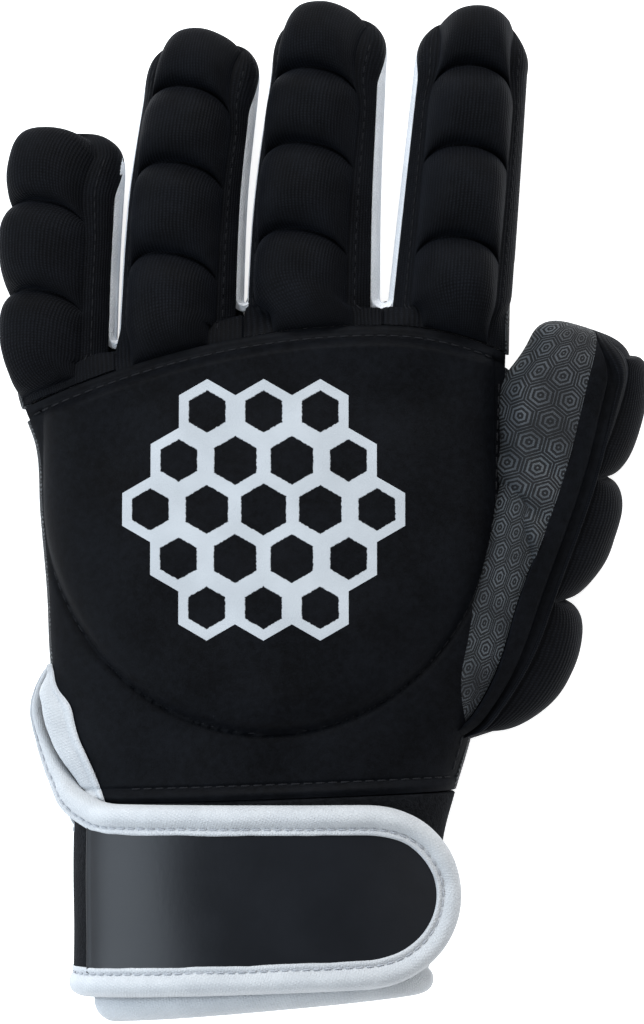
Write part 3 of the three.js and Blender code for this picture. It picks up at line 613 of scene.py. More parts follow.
def resampled(points: Array, step: float) -> Array:
    """Points at equal steps along a line, the last one kept."""
    lengths = np.concatenate([[0.0], np.cumsum(np.linalg.norm(np.diff(points, axis=0), axis=1))])
    places = np.linspace(0, lengths[-1], max(2, int(round(lengths[-1] / step)) + 1))
    return np.stack([np.interp(places, lengths, points[:, k]) for k in range(points.shape[1])], axis=1)


@dataclass(frozen=True)
class Thread:
    """A line of stitches: one stitch is modelled, and a copy is laid at each place."""

    pitch: float = 2.9
    length: float = 2.1
    thickness: float = 0.5

    def stitch(self) -> tuple[Array, list[list[int]]]:
        """One stitch along X, with a few dozen faces, as points and faces."""
        deselect()
        bpy.ops.mesh.primitive_uv_sphere_add(segments=8, ring_count=6, radius=0.5)
        ball = bpy.context.object
        points = np.array([v.co[:] for v in ball.data.vertices])
        faces = [list(polygon.vertices) for polygon in ball.data.polygons]
        discard(ball)
        shaft = self.length - self.thickness
        x = points[:, 2] * self.thickness
        x = x + np.sign(np.round(points[:, 2], 4)) * shaft / 2
        return stacked(x, points[:, 1] * self.thickness, points[:, 0] * self.thickness * 0.8), faces

    def sew(self, name: str, line: Array, normals: Array) -> bpy.types.Object:
        """Lays stitches along a line on the cloth.

        Args:
            name: the piece's name.
            line: points of the seam in millimetres.
            normals: the cloth's outward direction at each point.

        Returns:
            One piece that holds every stitch of the seam.
        """
        both = resampled(np.concatenate([line, normals], axis=1), self.pitch)
        places, up = both[:, :3], unit(both[:, 3:])
        ahead = unit(np.gradient(places, axis=0))
        aside = unit(np.cross(up, ahead))
        up = np.cross(ahead, aside)
        points, faces = self.stitch()
        laid = (
            places[1:-1, None]
            + points[None, :, :1] * ahead[1:-1, None]
            + points[None, :, 1:2] * aside[1:-1, None]
            + points[None, :, 2:] * up[1:-1, None]
        )
        count = len(points)
        all_faces = [[i + n * count for i in face] for n in range(len(laid)) for face in faces]
        return meshed(name, laid, all_faces)


# Finishes


class Reading:
    """A number on a node's socket, with Python's operators for the shader's sums."""

    def __init__(self, mixer: "Mixer", socket: bpy.types.NodeSocket) -> None:
        """Keeps the socket and the material that it belongs to."""
        self.mixer, self.socket = mixer, socket

    def sum_of(self, operation: str, *values: "Reading | float") -> "Reading":
        """A Math node on values, as a reading."""
        inputs = {i: value for i, value in enumerate(values)}
        return self.mixer.read("ShaderNodeMath", {"operation": operation}, inputs)

    def __add__(self, other: "Reading | float") -> "Reading":
        """The sum."""
        return self.sum_of("ADD", self, other)

    __radd__ = __add__

    def __sub__(self, other: "Reading | float") -> "Reading":
        """The difference."""
        return self.sum_of("SUBTRACT", self, other)

    def __rsub__(self, other: "Reading | float") -> "Reading":
        """The difference from another value."""
        return self.sum_of("SUBTRACT", other, self)

    def __mul__(self, other: "Reading | float") -> "Reading":
        """The product."""
        return self.sum_of("MULTIPLY", self, other)

    __rmul__ = __mul__

    def __truediv__(self, other: "Reading | float") -> "Reading":
        """The quotient."""
        return self.sum_of("DIVIDE", self, other)

    def __abs__(self) -> "Reading":
        """The size without its sign."""
        return self.sum_of("ABSOLUTE", self)

    def __mod__(self, other: float) -> "Reading":
        """What is left after whole steps, never below 0."""
        return self.sum_of("FLOORED_MODULO", self, other)

    def least(self, other: "Reading | float") -> "Reading":
        """The smaller of two."""
        return self.sum_of("MINIMUM", self, other)

    def most(self, other: "Reading | float") -> "Reading":
        """The larger of two."""
        return self.sum_of("MAXIMUM", self, other)

    def wave(self, pitch: float) -> "Reading":
        """A cosine between 0 and 1 that repeats at a pitch."""
        return self.sum_of("COSINE", self * (2 * math.pi / pitch)) * 0.5 + 0.5

    def step(self, low: float, high: float) -> "Reading":
        """A smooth step from 0 at low to 1 at high. Low may be the greater."""
        flip = low > high
        settings = {"interpolation_type": "SMOOTHSTEP"}
        values = {"Value": self, "From Min": min(low, high), "From Max": max(low, high)}
        made = self.mixer.read("ShaderNodeMapRange", settings, values)
        return 1 - made if flip else made


class Mixer:
    """Builds one material from its nodes."""

    def __init__(self, name: str) -> None:
        """Starts a material with a shader and an output."""
        self.material = bpy.data.materials.new(name)
        self.material.use_nodes = True
        self.tree = self.material.node_tree
        self.tree.nodes.clear()
        self.shader = self.tree.nodes.new("ShaderNodeBsdfPrincipled")
        output = self.tree.nodes.new("ShaderNodeOutputMaterial")
        self.tree.links.new(self.shader.outputs[0], output.inputs["Surface"])

    def node(self, kind: str, settings: dict, inputs: dict) -> bpy.types.Node:
        """Adds a node.

        Args:
            kind: the node's type.
            settings: its own settings, and a ramp's stops as (place, colour) pairs under "stops".
            inputs: values, sockets or readings by socket name or number.

        Returns:
            The node.
        """
        node = self.tree.nodes.new(kind)
        for key, value in settings.items():
            if key == "stops":
                elements = node.color_ramp.elements
                while len(elements) < len(value):
                    elements.new(0.5)
                for element, (place, colour) in zip(elements, value):
                    element.position, element.color = place, (*colour, 1.0)
            else:
                setattr(node, key, value)
        for key, value in inputs.items():
            if isinstance(value, Reading):
                value = value.socket
            if isinstance(value, bpy.types.NodeSocket):
                self.tree.links.new(value, node.inputs[key])
            else:
                node.inputs[key].default_value = value
        return node

    def read(self, kind: str, settings: dict, inputs: dict, output: int | str = 0) -> Reading:
        """Adds a node and reads one of its outputs."""
        return Reading(self, self.node(kind, settings, inputs).outputs[output])

    def place(self, source: str) -> tuple[Reading, Reading, Reading]:
        """The three parts of a coordinate, "Object" in millimetres or "UV" as the piece's map says."""
        spot = self.node("ShaderNodeTexCoord", {}, {}).outputs[source]
        parts = self.node("ShaderNodeSeparateXYZ", {}, {0: spot}).outputs
        scale = PER_METRE if source == "Object" else 1.0
        x, y, z = (Reading(self, part) * scale for part in parts)
        return x, y, z

    def noise(self, size: float, detail: float = 2.0) -> Reading:
        """Soft noise between 0 and 1 with grains of a size in millimetres."""
        spot = self.node("ShaderNodeTexCoord", {}, {}).outputs["Object"]
        scale = (PER_METRE, PER_METRE, PER_METRE)
        moved = self.node("ShaderNodeMapping", {}, {"Vector": spot, "Scale": scale}).outputs[0]
        values = {"Vector": moved, "Scale": 1.0 / size, "Detail": detail, "Roughness": 0.55}
        return self.read("ShaderNodeTexNoise", {}, values)

    def blend(self, share: Reading, low: object, high: object) -> bpy.types.NodeSocket:
        """A colour between two, each of them three numbers or a socket, by a share."""
        low, high = ((*c, 1.0) if isinstance(c, tuple) else c for c in (low, high))
        return self.node("ShaderNodeMix", {"data_type": "RGBA"}, {0: share, 6: low, 7: high}).outputs[2]

    def dress(self, **values: object) -> None:
        """Sets the shader's sockets, a constant on the socket itself and a varying value as a link."""
        names = {name.replace(" ", "_").lower(): name for name in self.shader.inputs.keys()}
        for key, value in values.items():
            socket = self.shader.inputs[names[key]]
            value = value.socket if isinstance(value, Reading) else value
            if isinstance(value, bpy.types.NodeSocket):
                self.tree.links.new(value, socket)
            else:
                socket.default_value = (*value, 1.0) if isinstance(value, tuple) and len(value) == 3 else value

    def relief(self, height: Reading, depth: float) -> None:
        """Raises the surface by a height of 0 to 1, depth millimetres at most."""
        values = {"Height": height, "Distance": depth * MM, "Strength": 1.0}
        self.dress(normal=self.node("ShaderNodeBump", {}, values).outputs[0])


@dataclass(frozen=True)
class RibbedKnit:
    """The black knit over the finger pads: fine ribs along the finger, with a soft sheen."""

    colour: tuple[float, float, float] = (0.0008, 0.0009, 0.0014)
    worn: tuple[float, float, float] = (0.0066, 0.0077, 0.0106)
    rib: float = 0.74
    course: float = 0.62
    depth: float = 0.15

    def material(self) -> bpy.types.Material:
        """Mixes the finish."""
        m = Mixer("ribbed_knit_cloth")
        u, v, _ = m.place("UV")
        grain, mottle = m.noise(0.5, 3.0), m.noise(9.0, 3.0)
        wander = m.noise(3.0) * 0.35
        ribs = (u + wander).wave(self.rib)
        courses = (v + wander + u * 0.2).wave(self.course)
        height = ribs * 0.4 + courses * ribs * 0.35 + grain * 0.35
        shade = (mottle * 0.45 + ribs * courses * 0.35 + grain * 0.4).step(0.3, 0.95)
        m.dress(
            base_color=m.blend(shade, self.colour, self.worn),
            roughness=mottle * 0.12 + 0.62,
            specular_ior_level=0.06,
            sheen_weight=0.014,
            **COOL_SHEEN,
        )
        m.relief(height, self.depth)
        return m.material


@dataclass(frozen=True)
class SmoothCloth:
    """The smooth black face cloth on foam, with a fine even knit."""

    name: str = "smooth_foam_cloth"
    colour: tuple[float, float, float] = (0.0008, 0.0009, 0.0013)
    worn: tuple[float, float, float] = (0.0042, 0.0049, 0.0067)

    def face(self, m: Mixer) -> tuple[Reading, Reading, Reading]:
        """The knit's height, its uneven shade and its slow mottling."""
        grain, speck, mottle = m.noise(0.42, 2.0), m.noise(1.6, 3.0), m.noise(16.0, 3.0)
        height = grain * 0.7 + speck * 0.5
        shade = (mottle * 0.5 + speck * 0.4 + grain * 0.3).step(0.35, 0.85)
        return height, shade, mottle

    def material(self) -> bpy.types.Material:
        """Mixes the finish."""
        m = Mixer(self.name)
        height, shade, mottle = self.face(m)
        m.dress(
            base_color=m.blend(shade, self.colour, self.worn),
            roughness=mottle * 0.12 + 0.56,
            specular_ior_level=0.05,
            sheen_weight=0.010,
            **COOL_SHEEN,
        )
        m.relief(height, 0.07)
        return m.material


@dataclass(frozen=True)
class PrintedCloth(SmoothCloth):
    """The smooth cloth with a plain white honeycomb printed on the back of the hand."""

    name: str = "printed_foam_cloth"
    white: tuple[float, float, float] = (0.42, 0.45, 0.48)
    middle: tuple[float, float] = (-15.4, 0.6)
    pitch: float = 13.2
    cell_half: tuple[float, float, float] = (5.25, 4.95, 4.3)

    def hexagon(self, x: Reading, y: Reading) -> Reading:
        """The distance from a hexagon's middle, measured square to its sides."""
        return abs(x).most(abs(x) * 0.5 + abs(y) * (math.sqrt(3) / 2))

    def ring_of(self, x: Reading, y: Reading) -> Reading:
        """The number of the honeycomb's ring that a cell's middle lies in."""
        tall = self.pitch * math.sqrt(3) / 2
        return (abs(y) / tall).most((abs(x) + abs(y) / math.sqrt(3)) / self.pitch)

    def comb(self, x: Reading, y: Reading) -> tuple[Reading, Reading]:
        """The distance to the nearest cell's middle and the ring of that cell."""
        wide, tall = self.pitch, self.pitch * math.sqrt(3)
        found = []
        for shift_x, shift_y in ((wide / 2, tall / 2), (0.0, 0.0)):
            local_x = (x + shift_x) % wide - wide / 2
            local_y = (y + shift_y) % tall - tall / 2
            found.append((self.hexagon(local_x, local_y), self.ring_of(x - local_x, y - local_y)))
        (near, ring), (other, other_ring) = found
        closer = other.step(0, 0.001) * (near - other).step(0.0, 0.001)
        return near.least(other), ring + (other_ring - ring) * closer

    def material(self) -> bpy.types.Material:
        """Mixes the finish."""
        m = Mixer(self.name)
        height, shade, mottle = self.face(m)
        x, y, z = m.place("Object")
        fray = (m.noise(0.7, 2.0) - 0.5) * 0.5
        distance, ring = self.comb(x - self.middle[0], y - self.middle[1])
        first, second, third = self.cell_half
        cell = first + (second - first) * ring.step(0.4, 0.6) + (third - second) * ring.step(1.4, 1.6)
        net = (distance + fray).step(0, 0.001) * (distance + fray - cell).step(-0.12, 0.12)
        white = net * ring.step(2.6, 2.4) * z.step(8.0, 12.0)
        cloth = m.blend(shade, self.colour, self.worn)
        paint = tuple(c * 0.86 for c in self.white)
        painted = m.blend(mottle.step(0.25, 0.75), paint, self.white)
        m.dress(
            base_color=m.blend(white, cloth, painted),
            roughness=mottle * 0.12 + 0.56 - white * 0.1,
            specular_ior_level=0.05,
            sheen_weight=0.010,
            **COOL_SHEEN,
        )
        m.relief(height + white * 0.8, 0.08)
        return m.material


@dataclass(frozen=True)
class WhiteCloth:
    """The white stretch cloth of the side strips and the folded tapes, with a small crepe weave."""

    name: str = "white_stretch_cloth"
    colour: tuple[float, float, float] = (0.41, 0.43, 0.455)
    bright: tuple[float, float, float] = (0.50, 0.52, 0.54)
    weave: float = 0.8
    depth: float = 0.2

    def material(self) -> bpy.types.Material:
        """Mixes the finish."""
        m = Mixer(self.name)
        u, v, _ = m.place("UV")
        grain, mottle = m.noise(0.55, 2.0), m.noise(7.0, 3.0)
        bend = grain * 0.7
        weave = (u + v * 0.6 + bend).wave(self.weave) * (v - u * 0.35 + bend).wave(self.weave * 0.85)
        height = weave * 0.5 + grain * 0.6
        shade = (mottle * 0.6 + height * 0.5).step(0.2, 0.8)
        m.dress(
            base_color=m.blend(shade, self.colour, self.bright),
            roughness=mottle * 0.1 + 0.82,
            specular_ior_level=0.2,
            sheen_weight=0.1,
            sheen_roughness=0.5,
        )
        m.relief(height, self.depth)
        return m.material


@dataclass(frozen=True)
class GripCloth:
    """The dark palm cloth with a raised grey grip print: a lattice of nested hexagons."""

    colour: tuple[float, float, float] = (0.0050, 0.0056, 0.0064)
    print_dark: tuple[float, float, float] = (0.016, 0.018, 0.021)
    print_light: tuple[float, float, float] = (0.056, 0.063, 0.070)
    pitch: float = 6.6
    rings: float = 1.02

    def material(self) -> bpy.types.Material:
        """Mixes the finish."""
        m = Mixer("grip_print_cloth")
        u, v, _ = m.place("UV")
        distance, _ = PrintedCloth(pitch=self.pitch).comb(u, v)
        grain, mottle = m.noise(0.4, 2.0), m.noise(12.0, 3.0)
        rings = (distance + (grain - 0.5) * 0.25).wave(self.rings).step(0.38, 0.62)
        inside = distance.step(self.pitch * 0.475, self.pitch * 0.455)
        printed = rings * inside
        twill = (u + v + grain * 0.2).wave(0.55)
        shade = (mottle + grain * 0.25).step(0.35, 0.85)
        ink = m.blend(shade, self.print_dark, self.print_light)
        m.dress(
            base_color=m.blend(printed, self.colour, ink),
            roughness=0.72 - printed * 0.26 + mottle * 0.08,
            specular_ior_level=0.22,
        )
        m.relief(printed * 0.8 + twill * 0.16 + grain * 0.12, 0.2)
        return m.material


@dataclass(frozen=True)
class LoopCloth:
    """The brushed black loop cloth of the wrist, fuzzy and matt."""

    colour: tuple[float, float, float] = (0.0020, 0.0022, 0.0026)
    worn: tuple[float, float, float] = (0.0085, 0.0092, 0.0108)

    def material(self) -> bpy.types.Material:
        """Mixes the finish."""
        m = Mixer("brushed_loop_cloth")
        fuzz, speck, mottle = m.noise(0.9, 3.0), m.noise(0.35, 2.0), m.noise(8.0, 3.0)
        height = fuzz * 0.8 + speck * 0.5
        shade = (fuzz * 0.7 + speck * 0.4 + mottle * 0.3).step(0.5, 1.0)
        m.dress(
            base_color=m.blend(shade, self.colour, self.worn),
            roughness=mottle * 0.08 + 0.88,
            specular_ior_level=0.05,
            sheen_weight=0.025,
            sheen_roughness=0.55,
            sheen_tint=(0.8, 0.85, 1.0),
        )
        m.relief(height, 0.42)
        return m.material


@dataclass(frozen=True)
class StrapFilm:
    """The smooth satin film welded to the strap, with the faintest orange peel."""

    colour: tuple[float, float, float] = (0.0032, 0.0042, 0.0064)
    worn: tuple[float, float, float] = (0.0046, 0.0058, 0.0086)

    def material(self) -> bpy.types.Material:
        """Mixes the finish."""
        m = Mixer("satin_strap_film")
        peel, mottle, scuff = m.noise(1.4, 2.0), m.noise(14.0, 3.0), m.noise(0.35, 2.0)
        m.dress(
            base_color=m.blend(mottle.step(0.3, 0.7), self.colour, self.worn),
            roughness=mottle * 0.08 + scuff * 0.05 + 0.30,
            specular_ior_level=0.26,
        )
        m.relief(peel * 0.8 + mottle * 0.2, 0.03)
        return m.material


@dataclass(frozen=True)
class SewingThread:
    """The twisted thread of the stitches."""

    name: str
    colour: tuple[float, float, float]

    def material(self) -> bpy.types.Material:
        """Mixes the finish."""
        m = Mixer(self.name)
        x, y, z = m.place("Object")
        twist = (x + y + z * 0.5).wave(0.42)
        mottle = m.noise(2.0)
        dark = tuple(c * 0.7 for c in self.colour)
        m.dress(
            base_color=m.blend(twist * 0.7 + mottle * 0.3, dark, self.colour),
            roughness=mottle * 0.2 + 0.6,
            specular_ior_level=0.15,
        )
        m.relief(twist, 0.05)
        return m.material


@dataclass(frozen=True)
class PaperFloor:
    """The plain white floor of the studio, lit from below like a light table so that shadows stay pale."""

    colour: tuple[float, float, float] = (0.93, 0.93, 0.93)
    glow: float = 0.72

    def material(self) -> bpy.types.Material:
        """Mixes the finish."""
        m = Mixer("white_floor_paper")
        shade = m.noise(160.0)
        m.dress(
            base_color=m.blend(shade, self.colour, (0.94, 0.94, 0.94)),
            roughness=0.9,
            specular_ior_level=0.1,
            emission_color=(1.0, 1.0, 1.0),
            emission_strength=self.glow,
        )
        return m.material


class Wardrobe:
    """Every finish once, so that pieces of one cloth share it."""

    def __init__(self) -> None:
        """Mixes all the finishes."""
        self.of = {
            Cloth.KNIT: RibbedKnit().material(),
            Cloth.NEOPRENE: SmoothCloth().material(),
            Cloth.WHITE: WhiteCloth("white_binding_cloth").material(),
            Cloth.GRIP: GripCloth().material(),
            Cloth.LOOP: LoopCloth().material(),
            Cloth.FILM: StrapFilm().material(),
        }
        # The strips between the fingers get a brighter copy of the same white cloth: painted light that lifts
        # the shade of the deep gaps between the fingers.
        self.strips = WhiteCloth("white_strip_cloth", (0.60, 0.63, 0.67), (0.76, 0.785, 0.82)).material()
        self.printed = PrintedCloth().material()
        self.black_thread = SewingThread("black_thread", (0.0070, 0.0076, 0.0098)).material()
        self.white_thread = SewingThread("white_thread", (0.44, 0.46, 0.50)).material()

    def finish(
        self,
        piece: bpy.types.Object,
        cloth: Cloth,
        nodes: Sequence[str] = (),
        material: bpy.types.Material | None = None,
    ) -> bpy.types.Object:
        """Dresses a piece and ties it to the part.

        Args:
            piece: the finished mesh.
            cloth: its slot in the record.
            nodes: the solids that it stands for.
            material: a finish to use in place of the cloth's own.

        Returns:
            The piece.
        """
        piece.data.materials.clear()
        piece.data.materials.append(material or self.of[cloth])
        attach(piece, "root")
        if nodes:
            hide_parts(*nodes)
        LOG.info("%s: %d faces", piece.name, len(piece.data.polygons))
        return piece


# The glove's own sub-assemblies


@dataclass(frozen=True)
class Finger:
    """One finger: a padded back, a flat front and the seams of its side strips."""

    name: str
    form: StallForm
    root_left: float
    root_right: float
    web_left: float | None
    web_right: float | None
    back_seam: float = 23.0
    palm_seam: float = 25.0
    outer_seam: float = 8.0
    rows_per_pad: int = 46
    columns_on_pad: int = 58
    spread_run: tuple[float, float] = (0.5, 1.25)
    height_run: tuple[float, float] = (-0.1, 1.05)
    front_run: tuple[float, float] = (0.7, 1.35)

    @property
    def root_middle(self) -> float:
        """The middle of the finger's share of the knuckle seam."""
        return (self.root_left + self.root_right) / 2

    def seams(self, q: Array) -> dict[str, Array]:
        """The clock angles of the back's and the front's edges at q, which all run to the tip's widest line."""
        body = 1 - ease(self.form.turn(q), 0.2, 1.1)
        roll = max(self.form.roll_deg, -24.0) * 0.5
        right_back = self.back_seam if self.web_right else self.outer_seam
        left_back = self.back_seam if self.web_left else self.outer_seam
        right_palm = -self.palm_seam if self.web_right else right_back - roll
        left_palm = -self.palm_seam if self.web_left else left_back + roll
        return {
            "back_right": (right_back - roll) * body,
            "back_left": 180 - (left_back + roll) * body,
            "palm_right": right_palm * body,
            "palm_left": 180 - left_palm * body,
        }

    def flowed(self, q: Array, start: float, point: Array, share: Array, inset: float, back: bool) -> Array:
        """Opens the tube out into the hand's section near its root.

        Args:
            q: places along the finger, as a column.
            start: the first of them.
            point: the tube's own points.
            share: 1 on the right edge, 0 on the left.
            inset: how far inside the cloth's outer face.
            back: whether this is the back or the palm's side.

        Returns:
            The points that the cloth goes through.
        """
        from_deg = (0.0, 180.0) if back else (360.0, 180.0)
        room = (1 if back else -1) * SEAM_ROOM_DEG

        def edge(x: float, outer: bool, outer_clock: float) -> float:
            return outer_clock if outer else HAND.clock_at(x, float(HAND.knuckle_y(x)), *from_deg)

        low = edge(self.root_right, not self.web_right, HAND_SEAM_RIGHT + room + (0 if back else 360))
        high = edge(self.root_left, not self.web_left, HAND_SEAM_LEFT - room)
        clock = mix(high, low, share)
        web = mix(self.web_left or self.web_right, self.web_right or self.web_left, share)
        x = HAND.point(HAND.knuckle_y(point[..., 0]), clock, inset)[..., 0]
        seam = HAND.point(HAND.knuckle_y(x) + q - start, clock, inset)
        reach = web - HAND.knuckle_y(x)
        along = q - start
        if not back:
            flow = 1 - ease(along, reach * self.front_run[0], reach * self.front_run[1] + 3)
            return mix(point, seam, flow[..., None])
        at_middle = 1 - ease(along, 0.0, 15.0)
        beside = ease(np.abs(2 * share - 1), 0.35, 0.85)
        spread, height = (
            mix(at_middle, 1 - ease(along, reach * low_share, reach * high_share), beside)
            for low_share, high_share in (self.spread_run, self.height_run)
        )
        return mix(point, seam, stacked(spread, spread, height))

    def back_grids(self) -> Grids:
        """The padded back: the foam's pads between two ribbed side strips."""
        form = self.form
        start = float(HAND.knuckle_y(self.root_middle)) - 0.4
        q = form.rows(start, self.rows_per_pad)[:, None]
        seams = self.seams(q)
        low, high = seams["back_right"] + SEAM_ROOM_DEG, seams["back_left"] - SEAM_ROOM_DEG
        shares, clock, past = form.pad_grid(q, 0.2, (12, self.columns_on_pad), low, high)
        at = form.station(q, 0)
        rooted = 1 - ease(q, start, start + ROOT_RUN)
        bow = -form.bow(shares) - form.drift * shares * at["half"] * 0.8
        flat = form.point(q + 0 * shares, clock)
        seamed = HAND.knuckle_y(flat[..., 0]) - HAND.knuckle_y(self.root_middle)
        row = q + mix(bow, seamed, rooted) * np.cos(at["turn"])
        share = (high - clock) / (high - low)
        faces = []
        for inset in (0.0, BACK_WALL):
            tube = form.point(row, clock, inset)
            faces.append(self.flowed(q, start, tube, share, inset, True))
        outer, inner = faces
        rise = form.pad_rise(q, shares)
        swell = ripple(outer, 13.0, len(self.name)) * 0.22 * (rise / USUAL_RISE) + ripple(outer, 5.0, 5) * 0.05
        lobe = 0.9 * np.sin(math.pi * past) * ease(q, form.bend + 1, form.bend + 8)
        belly = 0.55 * np.clip(shares, -1, 1) * rise / USUAL_RISE
        return form.puffed(outer, q, rise + swell + lobe, belly), inner

    def front_grids(self) -> Grids:
        """The palm's part of the finger, flat on the floor and turned up at its sides."""
        form = self.form
        start = float(HAND.knuckle_y(self.root_middle)) - 3.0
        q = form.stations(start, 44, 22)
        part = dense_ends(0, 1, 44)[None, :]
        seams = self.seams(q)
        left, right = seams["palm_left"] + SEAM_ROOM_DEG, 360 + seams["palm_right"] - SEAM_ROOM_DEG
        clock = mix(left, right, part)
        turn = form.turn(q)
        flat = form.point(q + 0 * part, clock)
        seamed = HAND.knuckle_y(flat[..., 0]) - HAND.knuckle_y(self.root_middle)
        row = q + seamed * (1 - ease(q, start, start + ROOT_RUN)) * np.cos(turn)
        faces = []
        for inset in (0.0, PALM_WALL):
            tube = form.point(row, clock, inset)
            point = self.flowed(q, start, tube, part, inset, False)
            point[..., 2] = np.maximum(0.0, point[..., 2])
            faces.append(point)
        outer, inner = faces
        return lain(outer, 11.0, 3), inner

    def stitches(self, wardrobe: Wardrobe, side: str, outer: Array, column: int) -> None:
        """Sews the line beside the pads.

        Args:
            wardrobe: the finishes.
            side: the side's name.
            outer: the back's outer face.
            column: the column of points that the stitches follow.
        """
        rows = (outer[:, column, 1] > self.form.pads[0].start + 4) & (outer[:, column, 1] < self.form.tip - 4)
        across = np.gradient(outer, axis=1)[:, column]
        along = np.gradient(outer, axis=0)[:, column]
        normal = unit(np.cross(along, across))
        normal *= np.sign(normal @ self.form.out)[:, None]
        line = outer[:, column] + normal * 0.04
        seam = Thread(pitch=2.6, length=1.7, thickness=0.36).sew(
            f"finger_{self.name}_stitches_{side}", line[rows], normal[rows]
        )
        wardrobe.finish(seam, Cloth.KNIT, material=wardrobe.black_thread)

    def make(self, wardrobe: Wardrobe) -> None:
        """Makes the back and the front."""
        outer, inner = self.back_grids()
        for side, column in (("right", 8), ("left", -9)):
            self.stitches(wardrobe, side, outer, column)
        outer, inner = hemmed(outer, inner, PAD_RIM, "slr")
        back = panel(f"finger_{self.name}_padded_back", outer, inner)
        wardrobe.finish(back, Cloth.KNIT, [f"finger_back_{self.name}"])
        outer, inner = hemmed(*self.front_grids(), CLOTH_RIM, "slr")
        wardrobe.finish(panel(f"finger_{self.name}_front", outer, inner), Cloth.GRIP)


def finger_table(*rows: tuple[float, float, float, float]) -> SmoothTable:
    """A finger's rows of y, middle, half width and height."""
    return SmoothTable(("c", "half", "tall"), rows)


LITTLE = Finger(
    "little",
    StallForm(
        finger_table((25, -60.6, 11.9, 17.0), (58, -60.0, 12.3, 16.5), (84, -58.8, 12.7, 15.5)),
        tip=88.6,
        roll_deg=-46,
        pad_half=8.6,
        tip_half=7.0,
        pads=(Pad(30, 52.4, 6.6), Pad(52.4, 73.4, 6.9), Pad(73.4, 90.0, 6.2)),
    ),
    root_left=-72.6,
    root_right=-48.6,
    web_left=None,
    web_right=41,
)
RING = Finger(
    "ring",
    StallForm(
        finger_table((36, -33.5, 14.8, 18.5), (73, -31.7, 14.2, 18.0), (100, -28.4, 13.6, 16.5)),
        tip=109.8,
        roll_deg=-17,
        pad_half=10.1,
        pads=(Pad(37, 60.8, 7.0), Pad(60.8, 82.2, 7.2), Pad(82.2, 99.8, 7.0), Pad(99.8, 112.6, 6.8)),
    ),
    root_left=-48.6,
    root_right=-18.6,
    web_left=41,
    web_right=50,
)
MIDDLE = Finger(
    "middle",
    StallForm(
        finger_table((42, -2.2, 15.9, 18.8), (73, -1.1, 15.1, 18.5), (104, 1.6, 13.6, 17.0)),
        tip=115.8,
        roll_deg=-22,
        pad_half=10.2,
        pads=(Pad(42, 66.4, 7.0), Pad(66.4, 86.8, 7.2), Pad(86.8, 104.4, 7.0), Pad(104.4, 118.6, 7.4)),
    ),
    root_left=-18.6,
    root_right=14.3,
    web_left=50,
    web_right=50.5,
)
INDEX = Finger(
    "index",
    StallForm(
        finger_table((41, 29.4, 14.8, 18.5), (73, 32.3, 14.2, 18.0), (103, 35.0, 13.5, 16.5)),
        tip=115.0,
        roll_deg=5,
        pad_half=9.8,
        droop=0.9,
        pads=(Pad(42, 64.6, 7.0), Pad(64.6, 86.2, 7.2), Pad(86.2, 104.8, 7.0), Pad(104.8, 117.8, 7.2)),
    ),
    root_left=14.3,
    root_right=43.9,
    web_left=50.5,
    web_right=None,
)


@dataclass(frozen=True)
class SideStrip:
    """The white strip between two fingers: down one side, round the web and up the other."""

    left: Finger
    right: Finger

    def side(self, finger: Finger, q: Array, on_right: bool, inset: float) -> Array:
        """The strip on one side of a finger, from the back's seam to the palm's."""
        seams = finger.seams(q)
        top = seams["back_right"] if on_right else seams["back_left"]
        foot = seams["palm_right"] if on_right else seams["palm_left"]
        return finger.form.point(q, mix(top, foot, np.linspace(0, 1, 16)[None, :]), inset)

    def grid(self, inset: float) -> Array:
        """The strip's points from the left finger's tip round the web to the right finger's tip."""
        left, right = self.left, self.right
        webs = (left.web_right, right.web_left)
        runs = []
        for finger, web, on_right in ((left, webs[0], True), (right, webs[1], False)):
            bend = finger.form.bend
            q = np.concatenate([np.linspace(web, bend, 50), np.linspace(bend, finger.form.end - 1.0, 18)[1:]])
            runs.append(self.side(finger, q[:, None], on_right, inset))
        down, up = runs[0][::-1], runs[1]
        a, b = down[-1], up[0]
        web_x = float(left.form.point(webs[0], 0.0)[0] + right.form.point(webs[1], 180.0)[0]) / 2
        share = np.linspace(0, 1, 18)[1:-1, None]
        angle = math.pi * (1 + share)
        reach = mix(web_x - a[None, :, 0], b[None, :, 0] - web_x, share)
        turned = stacked(
            web_x + reach * np.cos(angle),
            mix(a[None, :, 1], b[None, :, 1], share) + reach * np.sin(angle),
            mix(a[None, :, 2], b[None, :, 2], share),
        )
        return np.concatenate([down, turned, up])

    def make(self, wardrobe: Wardrobe) -> None:
        """Makes the strip."""
        outer, inner = self.grid(0.05), self.grid(SIDE_WALL)
        fingers = f"{self.left.name}_{self.right.name}"
        strip = panel(f"side_strip_{fingers}", outer, inner)
        wardrobe.finish(strip, Cloth.WHITE, [f"fourchette_{fingers}"], material=wardrobe.strips)


